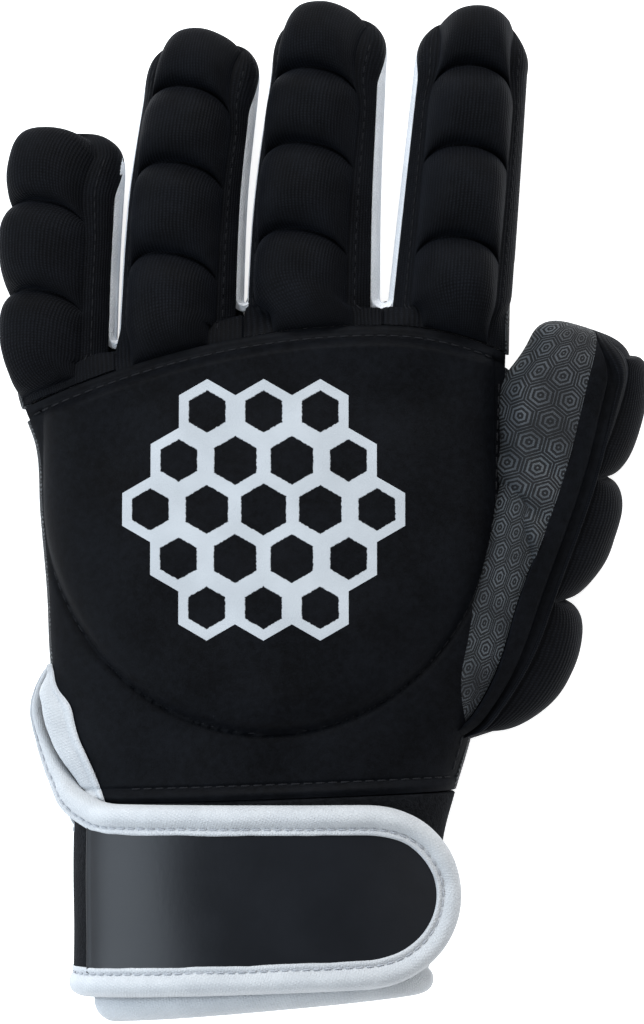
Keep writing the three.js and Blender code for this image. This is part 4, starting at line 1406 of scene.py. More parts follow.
@dataclass(frozen=True)
class HandShell:
    """The back of the hand with its foam dome, the palm, and the seams between them."""

    rows: int = 190
    columns: int = 190
    slit_top: float = -37.0
    slit_bottom: float = -50.0
    slit_back_deg: float = 170.0
    slit_palm_deg: float = 185.0
    slit_flare: float = 4.6
    back_flare: float = 2.7
    lip_width: float = 3.0
    lip_height: float = 0.75
    groove_depth: float = 0.85
    sewn_in: float = 2.3
    hem_sewn: float = 3.3
    dent_at: tuple[float, float] = (-46.5, 16.0)
    dent_depth: float = 1.5

    def slit_share(self, y: Array) -> Array:
        """0 above the slit of the wrist, 1 below its top."""
        return 1 - ease(y, self.slit_bottom, self.slit_top)

    def sheet(self, share: Array, clock_of: Callable[[Array], Array], inset: float, top: float) -> Array:
        """Rows of points between the knuckle seam and the wrist seam.

        Args:
            share: 0 at the knuckle seam to 1 at the wrist seam, as a column.
            clock_of: the clock angles of a row of columns at y.
            inset: how far inside the cloth's outer face.
            top: how far past the knuckle seam the cloth reaches.

        Returns:
            A grid of points.
        """
        at_left = mix(HAND.knuckle_y(-57.0) + top, HAND.wrist_y(-57.0), share)
        clock = clock_of(at_left)
        x = HAND.point(mix(40.0, -67.0, share), clock, inset)[..., 0]
        for _ in range(4):
            y = mix(HAND.knuckle_y(x) + top, HAND.wrist_y(x), share)
            x = HAND.point(y, clock, inset)[..., 0]
        return HAND.point(y, clock, inset)

    def back_lift(self, points: Array) -> Array:
        """What the foam, the folded lip, the sewn lines and slack cloth add to the back of the hand."""
        x, y = points[..., 0], points[..., 1]
        lift = HAND.dome_lift(x, y)
        below = HAND.knuckle_y(x) - y
        lip = (1 - ease(below, self.lip_width * 0.55, self.lip_width)) * self.lip_height
        stitched = np.exp(-(((below - self.sewn_in) / 0.55) ** 2)) * 0.5
        inside = HAND.dome_inside(x, y)
        size = np.sqrt(np.maximum(1 - inside, 0.0))
        from_edge = (size - 1.0) * HAND.dome_half_length
        groove = np.exp(-((from_edge / 0.9) ** 2)) * self.groove_depth * ease(-y, 6.0, 22.0)
        dent_x, dent_y = self.dent_at
        dent = self.dent_depth * np.exp(-(((x - dent_x) / 6.5) ** 2) - ((y - dent_y) / 15.0) ** 2)
        above = y - HAND.wrist_y(x)
        hem = np.exp(-(((above - 1.4) / 1.1) ** 2)) * 0.7
        hem = hem - np.exp(-(((above - self.hem_sewn) / 0.5) ** 2)) * 0.45
        slack = ripple(points, 26.0, 11) * 0.28 + ripple(points, 60.0, 4) * 0.4
        pull = 0.35 * np.sin((y + 0.35 * x) / 3.6) * ease(x, 22.0, 38.0) * ease(-y, 10.0, 40.0)
        return lift + lip + hem - stitched - groove - dent + (slack + pull) * ease(below, 2.0, 14.0)

    def back_grids(self) -> Grids:
        """The back of the hand."""
        middle = np.linspace(0.08, 0.95, self.rows - 58)[1:]
        share = np.concatenate([np.linspace(0, 0.08, 34), middle, np.linspace(0.95, 1, 26)[1:]])[:, None]

        def clocks(y: Array) -> Array:
            left = mix(HAND_SEAM_LEFT, self.slit_back_deg, self.slit_share(y))
            part = np.linspace(0, 1, self.columns)[None, :]
            return mix(HAND_SEAM_RIGHT + SEAM_ROOM_DEG, left - SEAM_ROOM_DEG, part)

        near_slit = ease(np.linspace(0, 1, self.columns)[None, :], 0.92, 1.0)
        faces = []
        for inset, top in ((0.0, 0.35), (BACK_WALL, 0.0)):
            grid = self.sheet(share, clocks, inset, top)
            below = self.slit_top - grid[..., 1]
            grid[..., 0] -= self.back_flare * near_slit * ease(below, 0.0, 6.0) * (1 - ease(below, 13.0, 33.0))
            faces.append(grid)
        outer, inner = faces
        outer[..., 2] += self.back_lift(outer)
        return outer, inner

    def palm_grids(self) -> Grids:
        """The palm, flat on the floor, with its free edge standing out below the slit."""
        share = np.linspace(0, 1, self.rows)[:, None]
        part = dense_ends(0, 1, 120)[None, :]

        def clocks(y: Array) -> Array:
            left = mix(HAND_SEAM_LEFT, self.slit_palm_deg, self.slit_share(y))
            return mix(left + SEAM_ROOM_DEG, 360 + HAND_SEAM_RIGHT - SEAM_ROOM_DEG, part)

        faces = []
        for inset in (0.0, PALM_WALL):
            grid = self.sheet(share, clocks, inset, -3.0)
            below = self.slit_share(grid[..., 1]) * ease(grid[..., 1], -72.4, self.slit_bottom)
            grid[..., 0] -= self.slit_flare * below * (1 - ease(part, 0, 0.2))
            faces.append(grid)
        outer, inner = faces
        return lain(outer, 14.0, 9), inner

    def surface_line(self, x: Array, y: Array) -> Grids:
        """Points and normals on the back of the hand above places x, y."""
        clock = np.array([HAND.clock_at(float(a), float(b), 0.0, 180.0) for a, b in zip(x, y)])

        def lifted(shift_clock: float, shift_y: float) -> Array:
            points = HAND.point(y + shift_y, clock + shift_clock)
            points[..., 2] += self.back_lift(points)
            return points

        normal = unit(np.cross(lifted(-1.5, 0) - lifted(1.5, 0), lifted(0, 1) - lifted(0, -1)))
        return lifted(0, 0), normal

    def seams(self, wardrobe: Wardrobe) -> None:
        """Sews the knuckle seam, the dome's lower arc, the hem at the wrist and the thumb's side."""
        knuckle_x, wrist_x = np.linspace(-69.0, 41.0, 160), np.linspace(-46.0, 31.0, 90)
        angle = np.radians(np.linspace(197, 352, 150))
        dome_x = HAND.dome_x + HAND.dome_half_width * np.cos(angle)
        dome_y = HAND.dome_y + HAND.dome_half_length * np.sin(angle)
        kept = (dome_x > -64) & (dome_x < 39.5)
        edge_y = np.linspace(32.0, -62.0, 110)
        lines = (
            ("knuckle_stitches", knuckle_x, HAND.knuckle_y(knuckle_x) - self.sewn_in, 0.08),
            ("dome_stitches", dome_x[kept], dome_y[kept], 0.1),
            ("wrist_stitches", wrist_x, HAND.wrist_y(wrist_x) + self.hem_sewn, 0.05),
            ("hand_edge_stitches", HAND.table.at("right", edge_y) - self.sewn_in, edge_y, 0.05),
        )
        for name, x, y, above in lines:
            points, normals = self.surface_line(x, y)
            seam = Thread().sew(name, points + normals * above, normals)
            wardrobe.finish(seam, Cloth.NEOPRENE, material=wardrobe.black_thread)

    def make(self, wardrobe: Wardrobe, thumb_room: bpy.types.Object) -> None:
        """Makes both panels and their seams.

        Args:
            wardrobe: the finishes.
            thumb_room: the space inside the thumb, which opens into the hand.
        """
        back = panel("hand_back_foam", *hemmed(*self.back_grids(), PAD_RIM, "selr"))
        carve(back, thumb_room)
        wardrobe.finish(back, Cloth.NEOPRENE, ["hand_back"], material=wardrobe.printed)
        palm = panel("palm_cloth", *hemmed(*self.palm_grids(), CLOTH_RIM, "selr"))
        carve(palm, thumb_room)
        wardrobe.finish(palm, Cloth.GRIP, ["palm"])
        self.seams(wardrobe)


SHELL = HandShell()


@dataclass(frozen=True)
class Thumb:
    """The thumb beside the hand: pads on its outer side, a smooth strip and a grip front."""

    form: StallForm = StallForm(
        finger_table(
            (-50, 27.0, 9.0, 22.0),
            (-44, 33.5, 11.5, 23.5),
            (-39.5, 39.5, 12.6, 24.8),
            (-34, 42.6, 13.2, 25.4),
            (-18, 46.7, 13.2, 26.0),
            (0, 47.7, 13.0, 26.0),
            (26, 48.4, 13.0, 25.4),
            (50, 46.8, 12.9, 24.4),
        ),
        tip=60.6,
        roll_deg=102,
        pad_half=11.4,
        pads=(Pad(-36, -1.6, 8.0), Pad(-1.6, 29, 6.4), Pad(29, 57.5, 5.2)),
        power=2.2,
        sag=1.5,
        sink=0.0,
        lean_deg=18.0,
        lift=0.3,
    )
    start: float = -50.0
    crease_half: float = 2.4
    widening: float = 5.0
    fold_height: float = 2.6
    back_low: float = -72.0
    back_high: float = 43.0
    side_high: float = 79.0
    narrow_at: float = -34.0
    narrow_deg: float = 63.0
    lip: float = 1.3
    tuck_height: float = 10.0
    creases: tuple[tuple[float, float, float, float, float], ...] = (
        (47.5, 14.0, 0.42, 9.0, 2.2),
        (46.0, -8.0, 0.5, 9.0, 2.0),
        (43.0, -26.0, 0.3, 8.0, 1.6),
    )

    def seams(self, q: Array) -> dict[str, Array]:
        """The clock angles of the three panels' edges at q."""
        body = 1 - ease(self.form.turn(q), 0.2, 1.15)
        low, high = -self.form.roll_deg, 180 - self.form.roll_deg
        side = mix(self.narrow_deg, self.side_high, ease(q, self.narrow_at, self.narrow_at + 30))
        return {
            "back_low": mix(low, self.back_low, body),
            "back_high": mix(high, self.back_high, body),
            "side_high": mix(high, side, body),
            "front_end": mix(low, self.back_low, body) + 360,
        }

    def sagged(self, q: Array, share: Array | float) -> Array:
        """The place along the thumb that a bowed row reaches at a share of the width."""
        return q - self.form.sag * np.minimum(np.asarray(share) ** 2, 1.1) * np.cos(self.form.turn(q))

    def back_grids(self) -> Grids:
        """The padded outer side."""
        form = self.form
        q = form.rows(self.start, 50)[:, None]
        seams = self.seams(q)
        low, high = seams["back_low"] + SEAM_ROOM_DEG, seams["back_high"] - SEAM_ROOM_DEG
        shares, clock, past = form.pad_grid(q, 0.1, (11, 60), low, high)
        outer, inner = (form.point(self.sagged(q, shares), clock, inset) for inset in (0.0, BACK_WALL))
        rise = form.pad_rise(q, shares)
        swell = ripple(outer, 13.0, 21) * 0.2 * (rise / USUAL_RISE)
        lip = self.lip * np.sin(math.pi * past) * (shares < 0) * (1 - ease(form.turn(q), 0.5, 1.3))
        outer = outer + stacked(0.25 * lip, 0.0, lip)
        belly = 0.5 * np.clip(shares, -1, 1) * rise / USUAL_RISE
        return form.puffed(outer, q, rise + swell, belly), inner

    def flat_grids(self, low: str, high: str, columns: int, wall: float, valley: float = 0.0) -> Grids:
        """A plain panel between two seams.

        Args:
            low: the name of the first seam.
            high: the name of the other seam.
            columns: how many columns of points it has.
            wall: the cloth's thickness.
            valley: how deep it dips beside the first seam.

        Returns:
            The outer and the inner face.
        """
        form = self.form
        q = form.stations(self.start, 120, 24)
        seams = self.seams(q)
        part = dense_ends(0, 1, columns)[None, :]
        clock = mix(seams[low] + SEAM_ROOM_DEG, seams[high] - SEAM_ROOM_DEG, part)
        sunk = valley * np.sin(math.pi * np.clip(part / 0.42, 0, 1)) * (1 - ease(form.turn(q), 0.3, 1.2))
        place = self.sagged(q, 1.05)
        return form.point(place, clock, sunk), form.point(place, clock, wall + sunk)

    def creased(self, outer: Array) -> Array:
        """Gathers and creases the grip cloth, and widens it towards the hand below the tip."""
        x, y = outer[..., 0], outer[..., 1]
        lean = math.radians(self.form.lean_deg)
        across = x * math.cos(lean) - y * math.sin(lean)
        inward = ease(self.form.table.at("c", x * math.sin(lean) + y * math.cos(lean)) - across, -2.0, 8.0)
        spread = -self.widening * inward * ease(y, -25.0, 5.0) * (1 - ease(y, 27.0, 41.0))
        near = np.exp(-(((x - 46.0 - 0.12 * y) / 9.0) ** 2)) * ease(outer[..., 2], 9.0, 18.0)
        folds = np.abs(np.sin((x * 0.85 + y * 0.45) / 3.4 + 0.9 * np.sin(y / 8.0))) - 0.65
        folds = folds * ease(y, -62.0, -38.0) * ease(-y, -32.0, -10.0)
        over_hand = ease(HAND.table.at("right", y) - x, -8.0, 1.5)
        under = over_hand * np.maximum(outer[..., 2] - self.tuck_height, 0.0)
        deep = 0.0
        for x_at, y_at, slope, reach, depth in self.creases:
            from_line = (x - x_at) + (y - y_at) * slope
            deep = deep + depth * np.exp(-((from_line / self.crease_half) ** 2) - ((y - y_at) / reach) ** 2)
        deep = deep * ease(outer[..., 2], 10.0, 16.0)
        return outer + stacked(spread, 0.0, self.fold_height * folds * near - under - deep)

    def room(self) -> bpy.types.Object:
        """The space inside the thumb as a tool for cutting."""
        bend = self.form.bend
        q = np.concatenate([np.linspace(self.start, bend, 30), bend + np.array([3, 6, 9, 11.0])])
        clock = np.linspace(0, 360, 40, endpoint=False)
        return plug("thumb_room", self.form.point(q[:, None], clock[None, :], BACK_WALL))

    def make(self, wardrobe: Wardrobe, hand_room: bpy.types.Object) -> None:
        """Makes the three panels and cuts their root back to the hand.

        Args:
            wardrobe: the finishes.
            hand_room: the hand's own space, as a tool for cutting.
        """
        back = panel("thumb_padded_back", *hemmed(*self.back_grids(), PAD_RIM, "lr"))
        strip = self.flat_grids("back_high", "side_high", 40, SIDE_WALL, 1.3)
        side = panel("thumb_smooth_strip", *hemmed(*strip, CLOTH_RIM, "lr"))
        outer, inner = self.flat_grids("side_high", "front_end", 110, PALM_WALL)
        front = panel("thumb_grip_front", *hemmed(self.creased(outer), inner, CLOTH_RIM, "lr"))
        for piece in (back, side, front):
            carve(piece, hand_room)
        wardrobe.finish(back, Cloth.KNIT, ["thumb_back"])
        wardrobe.finish(side, Cloth.NEOPRENE, ["thumb_side"])
        wardrobe.finish(front, Cloth.GRIP, ["thumb_front"])


def plug(name: str, rings: Array) -> bpy.types.Object:
    """A solid through closed rings of points with a flat face over each end, as a tool for cutting."""
    rows, count = rings.shape[:2]
    faces = [
        [r * count + c, r * count + (c + 1) % count, (r + 1) * count + (c + 1) % count, (r + 1) * count + c]
        for r in range(rows - 1)
        for c in range(count)
    ]
    faces += [list(range(count))[::-1], [(rows - 1) * count + c for c in range(count)]]
    return meshed(name, rings, faces)


def hand_room() -> bpy.types.Object:
    """The hand's outline just inside its cloth, which ends the thumb's panels inside the wall."""
    y = np.linspace(-80, 50, 60)[:, None]
    clock = np.linspace(0, 360, 120, endpoint=False)[None, :]
    rings = HAND.point(y, clock, 0.9)
    top = np.broadcast_to(clock < 180, rings.shape[:2])
    rings[..., 2] += np.where(top, HAND.dome_lift(rings[..., 0], rings[..., 1]) * 0.8, 0.0)
    return plug("hand_room", rings)


@dataclass(frozen=True)
class TapeRun:
    """Where a folded tape lies: its fold, the way into the cloth, the cloth's normal and its size."""

    edge: Array
    inwards: Array
    normal: Array
    width: Array | float = 1.0
    full: Array | float = 1.0


@dataclass(frozen=True)
class Binding:
    """A white tape folded over a cloth edge: a puffed roll, a sewn groove and a thin lip beyond it."""

    width: float
    half_cloth: float
    puff: float = 1.0
    points: int = 46

    def section(self) -> Grids:
        """The tape's outer and inner profile, each as pairs of the way inwards and the height."""
        w, h, p = self.width, self.half_cloth, self.puff
        outer = (
            (1.0 * w, h + 0.42), (0.99 * w, h + 0.75), (0.94 * w, h + 1.0), (0.87 * w, h + 0.95),
            (0.80 * w, h + 0.72), (0.75 * w, h + 0.78), (0.66 * w, h + 1.0 + 0.45 * p),
            (0.5 * w, h + 1.15 + 0.9 * p), (0.33 * w, h + 1.1 + 0.9 * p), (0.17 * w, h + 0.75 + 0.6 * p),
            (0.06 * w, h + 0.1), (0.0, 0.0), (0.05 * w, -h - 0.1), (0.16 * w, -h - 0.9),
            (0.4 * w, -h - 1.15), (0.8 * w, -h - 1.1), (1.0 * w, -h - 0.5),
        )
        fold, lining = TAPE_WALL, h + 0.27
        inner = (
            (1.0 * w, h + 0.25), (0.97 * w, h + 0.26),
            *((share * w, lining) for share in (0.92, 0.85, 0.78, 0.71, 0.6, 0.48, 0.36)),
            (fold + 0.6, lining), (fold + 0.1, h - 0.2), (fold, 0.0), (fold + 0.1, -h + 0.2),
            (fold + 0.6, -lining), (0.45 * w, -lining), (0.8 * w, -lining), (1.0 * w, -h - 0.3),
        )
        k = np.linspace(0, len(outer) - 1, self.points)
        profiles = []
        for shape in (outer, inner):
            table = SmoothTable(("in", "up"), tuple((i, a, b) for i, (a, b) in enumerate(shape)))
            profiles.append(np.stack([table.at("in", k), table.at("up", k)], axis=1))
        return profiles[0], profiles[1]

    def closed_tape(self, name: str, grids: list[Array], heart: Array, seed: int) -> bpy.types.Object:
        """The tape between its faces, the outer one with a slow and a fine swell away from the heart."""
        outer, inner = grids
        swell = ripple(outer, 11.0, seed) * 0.12 + ripple(outer, 4.0, seed + 1) * 0.05
        outer = outer + unit(outer - heart) * swell[..., None]
        return panel(name, *hemmed(outer, inner, TAPE_RIM, "selr"))

    def lay(self, name: str, run: TapeRun, seed: int = 1) -> bpy.types.Object:
        """Folds the tape over an edge.

        Args:
            name: the piece's name.
            run: where the tape lies.
            seed: which uneven swell the tape gets.

        Returns:
            The tape as one closed piece.
        """
        edge = run.edge
        width, full = (np.broadcast_to(value, len(edge))[:, None, None] for value in (run.width, run.full))
        grids = [
            edge[:, None]
            + run.inwards[:, None] * profile[None, :, :1] * width
            + run.normal[:, None] * profile[None, :, 1:] * full
            for profile in self.section()
        ]
        return self.closed_tape(name, grids, edge[:, None], seed)

    def fold_over(self, name: str, cloth: Grids, over: float, width: Array, seed: int = 1) -> bpy.types.Object:
        """Folds the tape over the first column of a cloth, on the cloth's own curve.

        Args:
            name: the piece's name.
            cloth: the cloth's outer and inner face, with rows along the edge and columns away from it.
            over: how far the fold lies past the edge.
            width: the share of the tape's full width at each row.
            seed: which uneven swell the tape gets.

        Returns:
            The tape as one closed piece.
        """
        outer, inner = cloth
        steps = np.linalg.norm(np.diff((outer + inner) / 2, axis=1), axis=2)
        arc = np.concatenate([np.zeros((len(outer), 1)), np.cumsum(steps, axis=1)], axis=1)
        normal, away = unit(outer - inner), unit(outer[:, 0] - outer[:, 6])
        grids = []
        for profile in self.section():
            level = np.clip(profile[:, 1] / self.half_cloth, -1, 1)
            beyond = (profile[:, 1] - level * self.half_cloth)[:, None]
            rows = []
            for r, share in enumerate(width):
                place = profile[:, 0] * share - over
                low, high, up = (
                    np.stack([np.interp(place, arc[r], grid[r, :, axis]) for axis in range(3)], axis=1)
                    for grid in (inner, outer, normal)
                )
                on_cloth = mix(low, high, (level[:, None] + 1) / 2)
                past_edge = away[r] * np.maximum(-place, 0.0)[:, None]
                rows.append(on_cloth + past_edge + up * beyond * mix(0.5, 1.0, share))
            grids.append(np.array(rows))
        return self.closed_tape(name, grids, (outer[:, :1] + inner[:, :1]) / 2, seed)

    def stitch_line(self, run: TapeRun) -> Array:
        """Where the stitches lie on the tape."""
        width, full = (np.broadcast_to(value, len(run.edge))[:, None] for value in (run.width, run.full))
        inwards = run.inwards * (0.79 * self.width) * width
        return run.edge + inwards + run.normal * (self.half_cloth + 0.86) * full


@dataclass(frozen=True)
class Strap:
    """The wide wrist strap with its round end, satin film, loop cloth and white binding."""

    start_deg: float = 199.0
    leave_x: float = 8.0
    end_x: float = 32.7
    top: float = -68.0
    bottom_left: float = -113.3
    bottom_right: float = -110.4
    end_radius: float = 23.0
    clearance: float = 0.7
    droop: float = 0.26
    edge_room: float = 1.35
    film_left: float = -53.6
    film_inset: float = 5.6
    film_lift: float = 0.12
    binding: Binding = Binding(width=7.0, half_cloth=STRAP_WALL / 2)
    flow: SmoothTable = SmoothTable(
        ("x", "y", "z", "tilt", "width"),
        (
            (0, -61.4, -35.4, 17.0, 44, 0.24),
            (1, -64.2, -39.6, 17.2, 42, 0.30),
            (2, -65.5, -45.0, 15.8, 36, 0.40),
            (3, -64.3, -50.6, 15.4, 30, 0.50),
            (4, -62.0, -55.8, 16.8, 26, 0.64),
            (5, -59.3, -60.6, 19.2, 26, 0.76),
            (6, -56.4, -65.0, 22.8, 30, 0.90),
            (7, -51.4, -67.6, 27.6, 38, 1.0),
        ),
    )

    def line(self) -> tuple[Array, Array, Array]:
        """The strap's middle line round the wrist, as x, z and the outward normal's two parts."""
        y = self.top - 2
        wide = self.clearance + TAPE_WALL + 0.3 + STRAP_WALL / 2
        coarse = np.linspace(142, 30, 12)
        last_clock = coarse[HAND.point(y, coarse, -wide)[:, 0] < self.leave_x][-1]
        wrap = HAND.point(y, np.linspace(self.start_deg, last_clock, 150), -wide)[:, [0, 2]]
        share = np.linspace(0, 1, 60)[1:]
        x = mix(wrap[-1, 0], self.end_x - 0.5, share)
        z = wrap[-1, 1] - self.droop * (x - wrap[-1, 0]) * (0.7 + 0.6 * share)
        path = relaxed(resampled(np.concatenate([wrap, np.stack([x, z], 1)]), STRAP_STEP), 8)
        way = unit(np.gradient(path, axis=0))
        return path[:, 0], path[:, 1], np.stack([-way[:, 1], way[:, 0]], 1)

    def lower(self, x: Array) -> Array:
        """The strap's lower edge at x."""
        return mix(self.bottom_left, self.bottom_right, np.clip((x + 55) / 80, 0, 1))

    def edges(self, x: Array, inset: float) -> Grids:
        """The upper and lower edge at x, drawn in by inset."""
        middle, half = (self.top + self.lower(x)) / 2, (self.top - self.lower(x)) / 2 - inset
        past = np.clip((x - (self.end_x - self.end_radius)) / (self.end_radius - inset), 0, 1)
        share = np.sqrt(np.maximum(0, 1 - past**2.2))
        return middle + half * share, middle - half * share

    def sheet(self, inset: float, low: float, high: float, x_from: float | None = None) -> Grids:
        """A layer of the strap between two heights, from its start or from x on its top."""
        x, z, normal = self.line()
        keep = x < self.end_x - inset - 0.45
        if x_from is not None:
            keep &= (x > x_from) & (normal[:, 1] > 0.2)
        x, z, normal = x[keep], z[keep], normal[keep]
        if x_from is not None:
            x[0] = x_from
        top, bottom = self.edges(x, inset)
        y = mix(top[:, None], bottom[:, None], dense_ends(0, 1, 60)[None, :])
        grids = []
        for height in (high, low):
            wave = ripple(stacked(x[:, None], y, z[:, None]), 30.0, 7) * 0.18
            aside, up = (part * (height + wave) for part in (normal[:, :1], normal[:, 1:]))
            grids.append(stacked(x[:, None] + aside, y, z[:, None] + up))
        return grids[0], grids[1]

    def run_along(self, path: Array) -> TapeRun:
        """The tape's run along rows of x, y, z, the normal's x and z, and the share of full width."""
        path = relaxed(resampled(path, STRAP_STEP), 6)
        edge, up = path[:, :3], unit(stacked(path[:, 3], 0 * path[:, 3], path[:, 4]))
        ahead = unit(np.gradient(edge, axis=0))
        flat = mix(0.72, 1.0, ease(up[:, 2], 0.3, 0.85))
        tape = path[:, 5]
        full = np.maximum(flat, tape < 0.99) * mix(0.45, 1, tape)
        return TapeRun(edge, unit(np.cross(ahead, up)), up, tape, full)

    def outline(self) -> tuple[TapeRun, TapeRun]:
        """The tape's run from the slit's top round the strap, and the short one round the wrist."""
        x, z, normal = self.line()
        turn_from = self.end_x - self.end_radius
        around = np.linspace(0, math.pi, 120)[1:-1]
        nose_x = turn_from + (self.end_radius - 0.5) * np.abs(np.sin(around)) ** (2 / 2.2)
        middle, half = (self.top + self.lower(nose_x)) / 2, (self.top - self.lower(nose_x)) / 2
        tail = x >= turn_from - 5
        bent = [np.interp(nose_x, x[tail], value[tail]) for value in (z, normal[:, 0], normal[:, 1])]
        nose = np.stack([nose_x, middle + half * np.cos(around), *bent, np.ones_like(nose_x)], 1)
        straight = x <= turn_from
        top = np.stack([x, np.full_like(x, self.top), z, normal[:, 0], normal[:, 1], np.ones_like(x)], 1)
        under = np.stack([x, self.lower(x), z, normal[:, 0], normal[:, 1], np.ones_like(x)], 1)[straight][::-1]
        k = np.linspace(0, len(self.flow.rows) - 1, 90)
        spot = [self.flow.at(name, k) for name in ("x", "y", "z")]
        tilt = np.radians(self.flow.at("tilt", k))
        flow = np.stack([*spot, -np.sin(tilt), np.cos(tilt), self.flow.at("width", k)], 1)
        facing_up = normal[:, 1] > 0.3
        long = np.concatenate([flow, top[straight & facing_up & (x > flow[-1, 0] + 2.5)], nose, under])
        return self.run_along(long), self.run_along(top[normal[:, 1] < 0.2])

    def make(self, wardrobe: Wardrobe) -> None:
        """Makes the strap's loop body, its film, its tape and the tape's stitches."""
        half = STRAP_WALL / 2
        body = panel("strap_loop_body", *hemmed(*self.sheet(self.edge_room, -half, half), CLOTH_RIM, "selr"))
        wardrobe.finish(body, Cloth.LOOP, ["strap"])
        low = half + self.film_lift
        film = self.sheet(self.film_inset, low - 0.1, low + 0.42, self.film_left)
        wardrobe.finish(panel("strap_film_panel", *hemmed(*film, FILM_RIM, "selr")), Cloth.FILM, ["strap_face"])
        run, side = self.outline()
        tape = self.binding.lay("strap_white_binding", run, 3)
        wardrobe.finish(tape, Cloth.WHITE, ["strap_tape", "slit_tape_palm"])
        wardrobe.finish(self.binding.lay("strap_side_binding", side, 4), Cloth.WHITE)
        seam = Thread(pitch=2.5, length=1.7, thickness=0.42).sew(
            "strap_binding_stitches", self.binding.stitch_line(run), run.normal
        )
        wardrobe.finish(seam, Cloth.WHITE, material=wardrobe.white_thread)


@dataclass(frozen=True)
class Wrist:
    """The loop-cloth band round the wrist, its cuff tape and the tapes of the slit."""

    back_deg: float = 168.0
    palm_deg: float = 192.0
    end_left: float = -118.3
    end_right: float = -111.4
    edge_room: float = 1.35
    edge_deg: float = 5.0
    corner: float = 4.5
    flare: float = 2.8

    def end_y(self, x: Array) -> Array:
        """The cuff's lower edge at x."""
        return mix(self.end_left, self.end_right, np.clip((np.asarray(x) + 52) / 77, 0, 1))

    def band_grids(self) -> Grids:
        """The band from the wrist seam to the cuff."""
        clock = np.linspace(self.back_deg, self.palm_deg - 360, 220)[:, None]
        share = np.linspace(0, 1, 60)[None, :]
        grids = []
        for inset in (0.0, WRIST_WALL):
            x = HAND.point(-90.0, clock, inset)[..., 0]
            y = mix(HAND.wrist_y(x) - 0.1, self.end_y(x), share)
            grids.append(self.flared(HAND.point(y, clock, inset), clock))
        return grids[0], grids[1]

    def flared(self, points: Array, clock: Array) -> Array:
        """Opens the cuff a little towards its free end on the back."""
        aside = self.flare * ease(clock, 115.0, 168.0) * ease(-points[..., 1], 107.0, 115.0)
        return points - stacked(aside, 0.0, 0.0)

    def cuff_tape(self) -> bpy.types.Object:
        """The white roll round the cuff, with round corners at both ends of the band."""
        clock = np.linspace(self.back_deg + self.edge_deg, self.palm_deg - self.edge_deg - 360, 260)
        x = HAND.point(-112.0, clock, WRIST_WALL / 2)[:, 0]
        y = self.end_y(x) - self.edge_room
        edge = self.flared(HAND.point(y, clock, WRIST_WALL / 2), clock)
        outside = self.flared(HAND.point(y, clock, WRIST_WALL / 2 - 1), clock)
        normal = unit((outside - edge) * np.array([1.0, 0.0, 1.0]))
        path = resampled(np.concatenate([edge, normal], 1), CUFF_STEP)
        from_end = CUFF_STEP * np.minimum(np.arange(len(path)), np.arange(len(path))[::-1])
        round_end = np.sqrt(np.clip(1 - (1 - np.minimum(from_end / self.corner, 1)) ** 2, 0.03, 1))
        tape = Binding(width=7.6, half_cloth=WRIST_WALL / 2, puff=0.7)
        path[:, 1] += tape.width * (1 - round_end)
        up = unit(path[:, 3:])
        inwards = np.broadcast_to([0.0, 1.0, 0.0], up.shape)
        run = TapeRun(path[:, :3], inwards, up, round_end, mix(0.8, 1.0, round_end))
        return tape.lay("cuff_white_roll", run, 8)

    def slit_tape(self) -> bpy.types.Object:
        """The tape along the free edge of the back of the hand, on the cloth's own rows."""
        outer, inner = (grid[:, :-30:-1] for grid in SHELL.back_grids())
        rows = outer[:, 0, 1] < SHELL.slit_top + 1.5
        below = SHELL.slit_top - outer[rows, 0, 1]
        tape = Binding(width=6.2, half_cloth=BACK_WALL / 2, puff=0.7)
        width = mix(0.2, 1.35, ease(below, -1.5, 10.0)) * mix(1.0, 0.8, ease(below, 18.0, 31.0))
        return tape.fold_over("slit_back_tape", (outer[rows], inner[rows]), self.edge_room, width, 5)

    def make(self, wardrobe: Wardrobe) -> None:
        """Makes the band and the tapes."""
        band = panel("wrist_loop_band", *hemmed(*self.band_grids(), CLOTH_RIM, "selr"))
        wardrobe.finish(band, Cloth.LOOP, ["wrist_band"])
        wardrobe.finish(self.cuff_tape(), Cloth.WHITE, ["cuff_tape"])
        wardrobe.finish(self.slit_tape(), Cloth.WHITE, ["slit_tape_back"])


@dataclass(frozen=True)
class Lamp:
    """One soft box: where it stands, what it looks at, its size and its power."""

    name: str
    place: tuple[float, float, float]
    size: tuple[float, float]
    power: float
    colour: tuple[float, float, float] = (1.0, 1.0, 1.0)
    aim: tuple[float, float, float] = (0.0, 0.0, 0.01)

    def light(self) -> None:
        """Sets the lamp up."""
        bpy.ops.object.light_add(type="AREA", location=self.place)
        lamp = bpy.context.object
        lamp.name = self.name
        lamp.data.shape, lamp.data.size, lamp.data.size_y = "RECTANGLE", *self.size
        lamp.data.energy, lamp.data.color = self.power, self.colour
        lamp.rotation_euler = (Vector(self.aim) - Vector(self.place)).to_track_quat("-Z", "Y").to_euler()


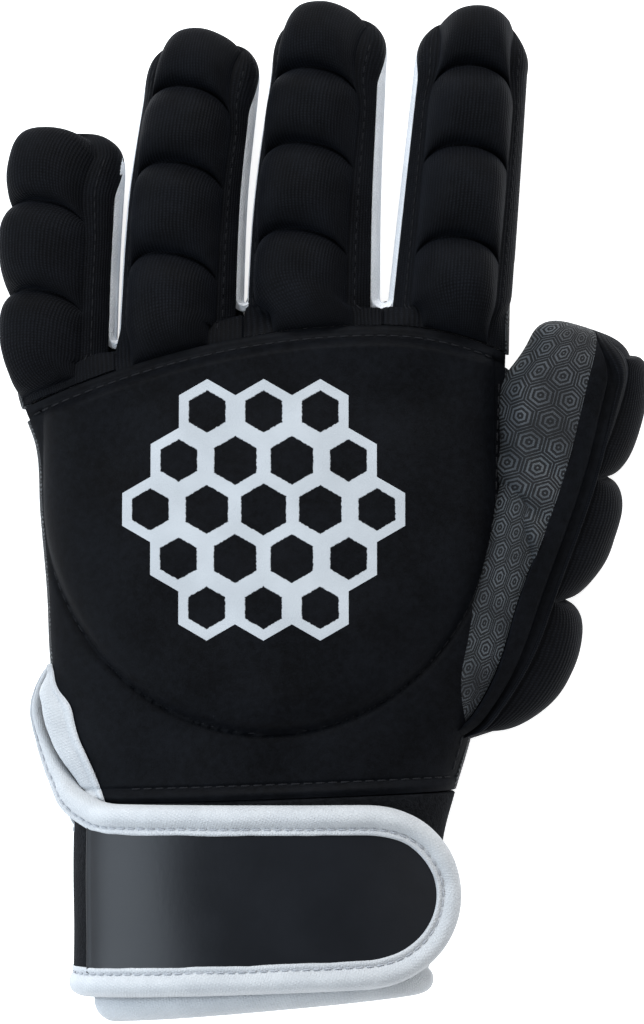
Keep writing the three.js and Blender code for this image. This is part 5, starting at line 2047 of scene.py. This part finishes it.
@dataclass(frozen=True)
class Studio:
    """The white floor, the soft boxes and the camera straight above the glove."""

    frame_height: float = 0.24064
    look_x: float = -0.0018
    glove_height: float = 0.017
    distance: float = 1.5
    sensor: float = 24.0
    world: float = 0.33
    lamps: tuple[Lamp, ...] = (
        Lamp("soft_box_top", (0.0, 1.1, 0.8), (1.2, 0.6), 20.0),
        Lamp("soft_box_left", (-1.0, -0.1, 0.75), (0.8, 1.1), 16.0, (0.80, 0.90, 1.0)),
        Lamp("soft_box_right", (1.2, 0.2, 0.6), (0.5, 1.0), 3.0),
        Lamp("soft_box_near", (0.2, -1.2, 0.6), (1.0, 0.4), 4.0),
    )

    def make(self) -> None:
        """Sets the studio up."""
        deselect()
        bpy.ops.mesh.primitive_plane_add(size=6.0)
        floor = bpy.context.object
        floor.name = "studio_floor"
        floor.data.materials.append(PaperFloor().material())
        for lamp in self.lamps:
            lamp.light()
        scene = bpy.context.scene
        scene.world = bpy.data.worlds.new("studio_air")
        scene.world.use_nodes = True
        air = scene.world.node_tree.nodes["Background"].inputs
        air["Color"].default_value, air["Strength"].default_value = (0.94, 0.97, 1.0, 1.0), self.world
        scene.view_settings.view_transform = "Standard"
        bpy.ops.object.camera_add(location=(self.look_x, 0.0, self.glove_height + self.distance))
        camera = bpy.context.object
        camera.data.sensor_fit = "VERTICAL"
        camera.data.sensor_height = self.sensor
        camera.data.lens = self.sensor / self.frame_height * self.distance
        camera.data.clip_end = 50.0
        scene.camera = camera


def main() -> None:
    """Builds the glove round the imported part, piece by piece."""
    logging.basicConfig(level=logging.INFO, format="%(message)s")
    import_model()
    wardrobe = Wardrobe()
    thumb = Thumb()
    thumb_room, room = thumb.room(), hand_room()
    SHELL.make(wardrobe, thumb_room)
    thumb.make(wardrobe, room)
    discard(thumb_room, room)
    for finger in (LITTLE, RING, MIDDLE, INDEX):
        finger.make(wardrobe)
    for left, right in ((LITTLE, RING), (RING, MIDDLE), (MIDDLE, INDEX)):
        SideStrip(left, right).make(wardrobe)
    Wrist().make(wardrobe)
    Strap().make(wardrobe)
    Studio().make()


if __name__ == "__main__":
    main()
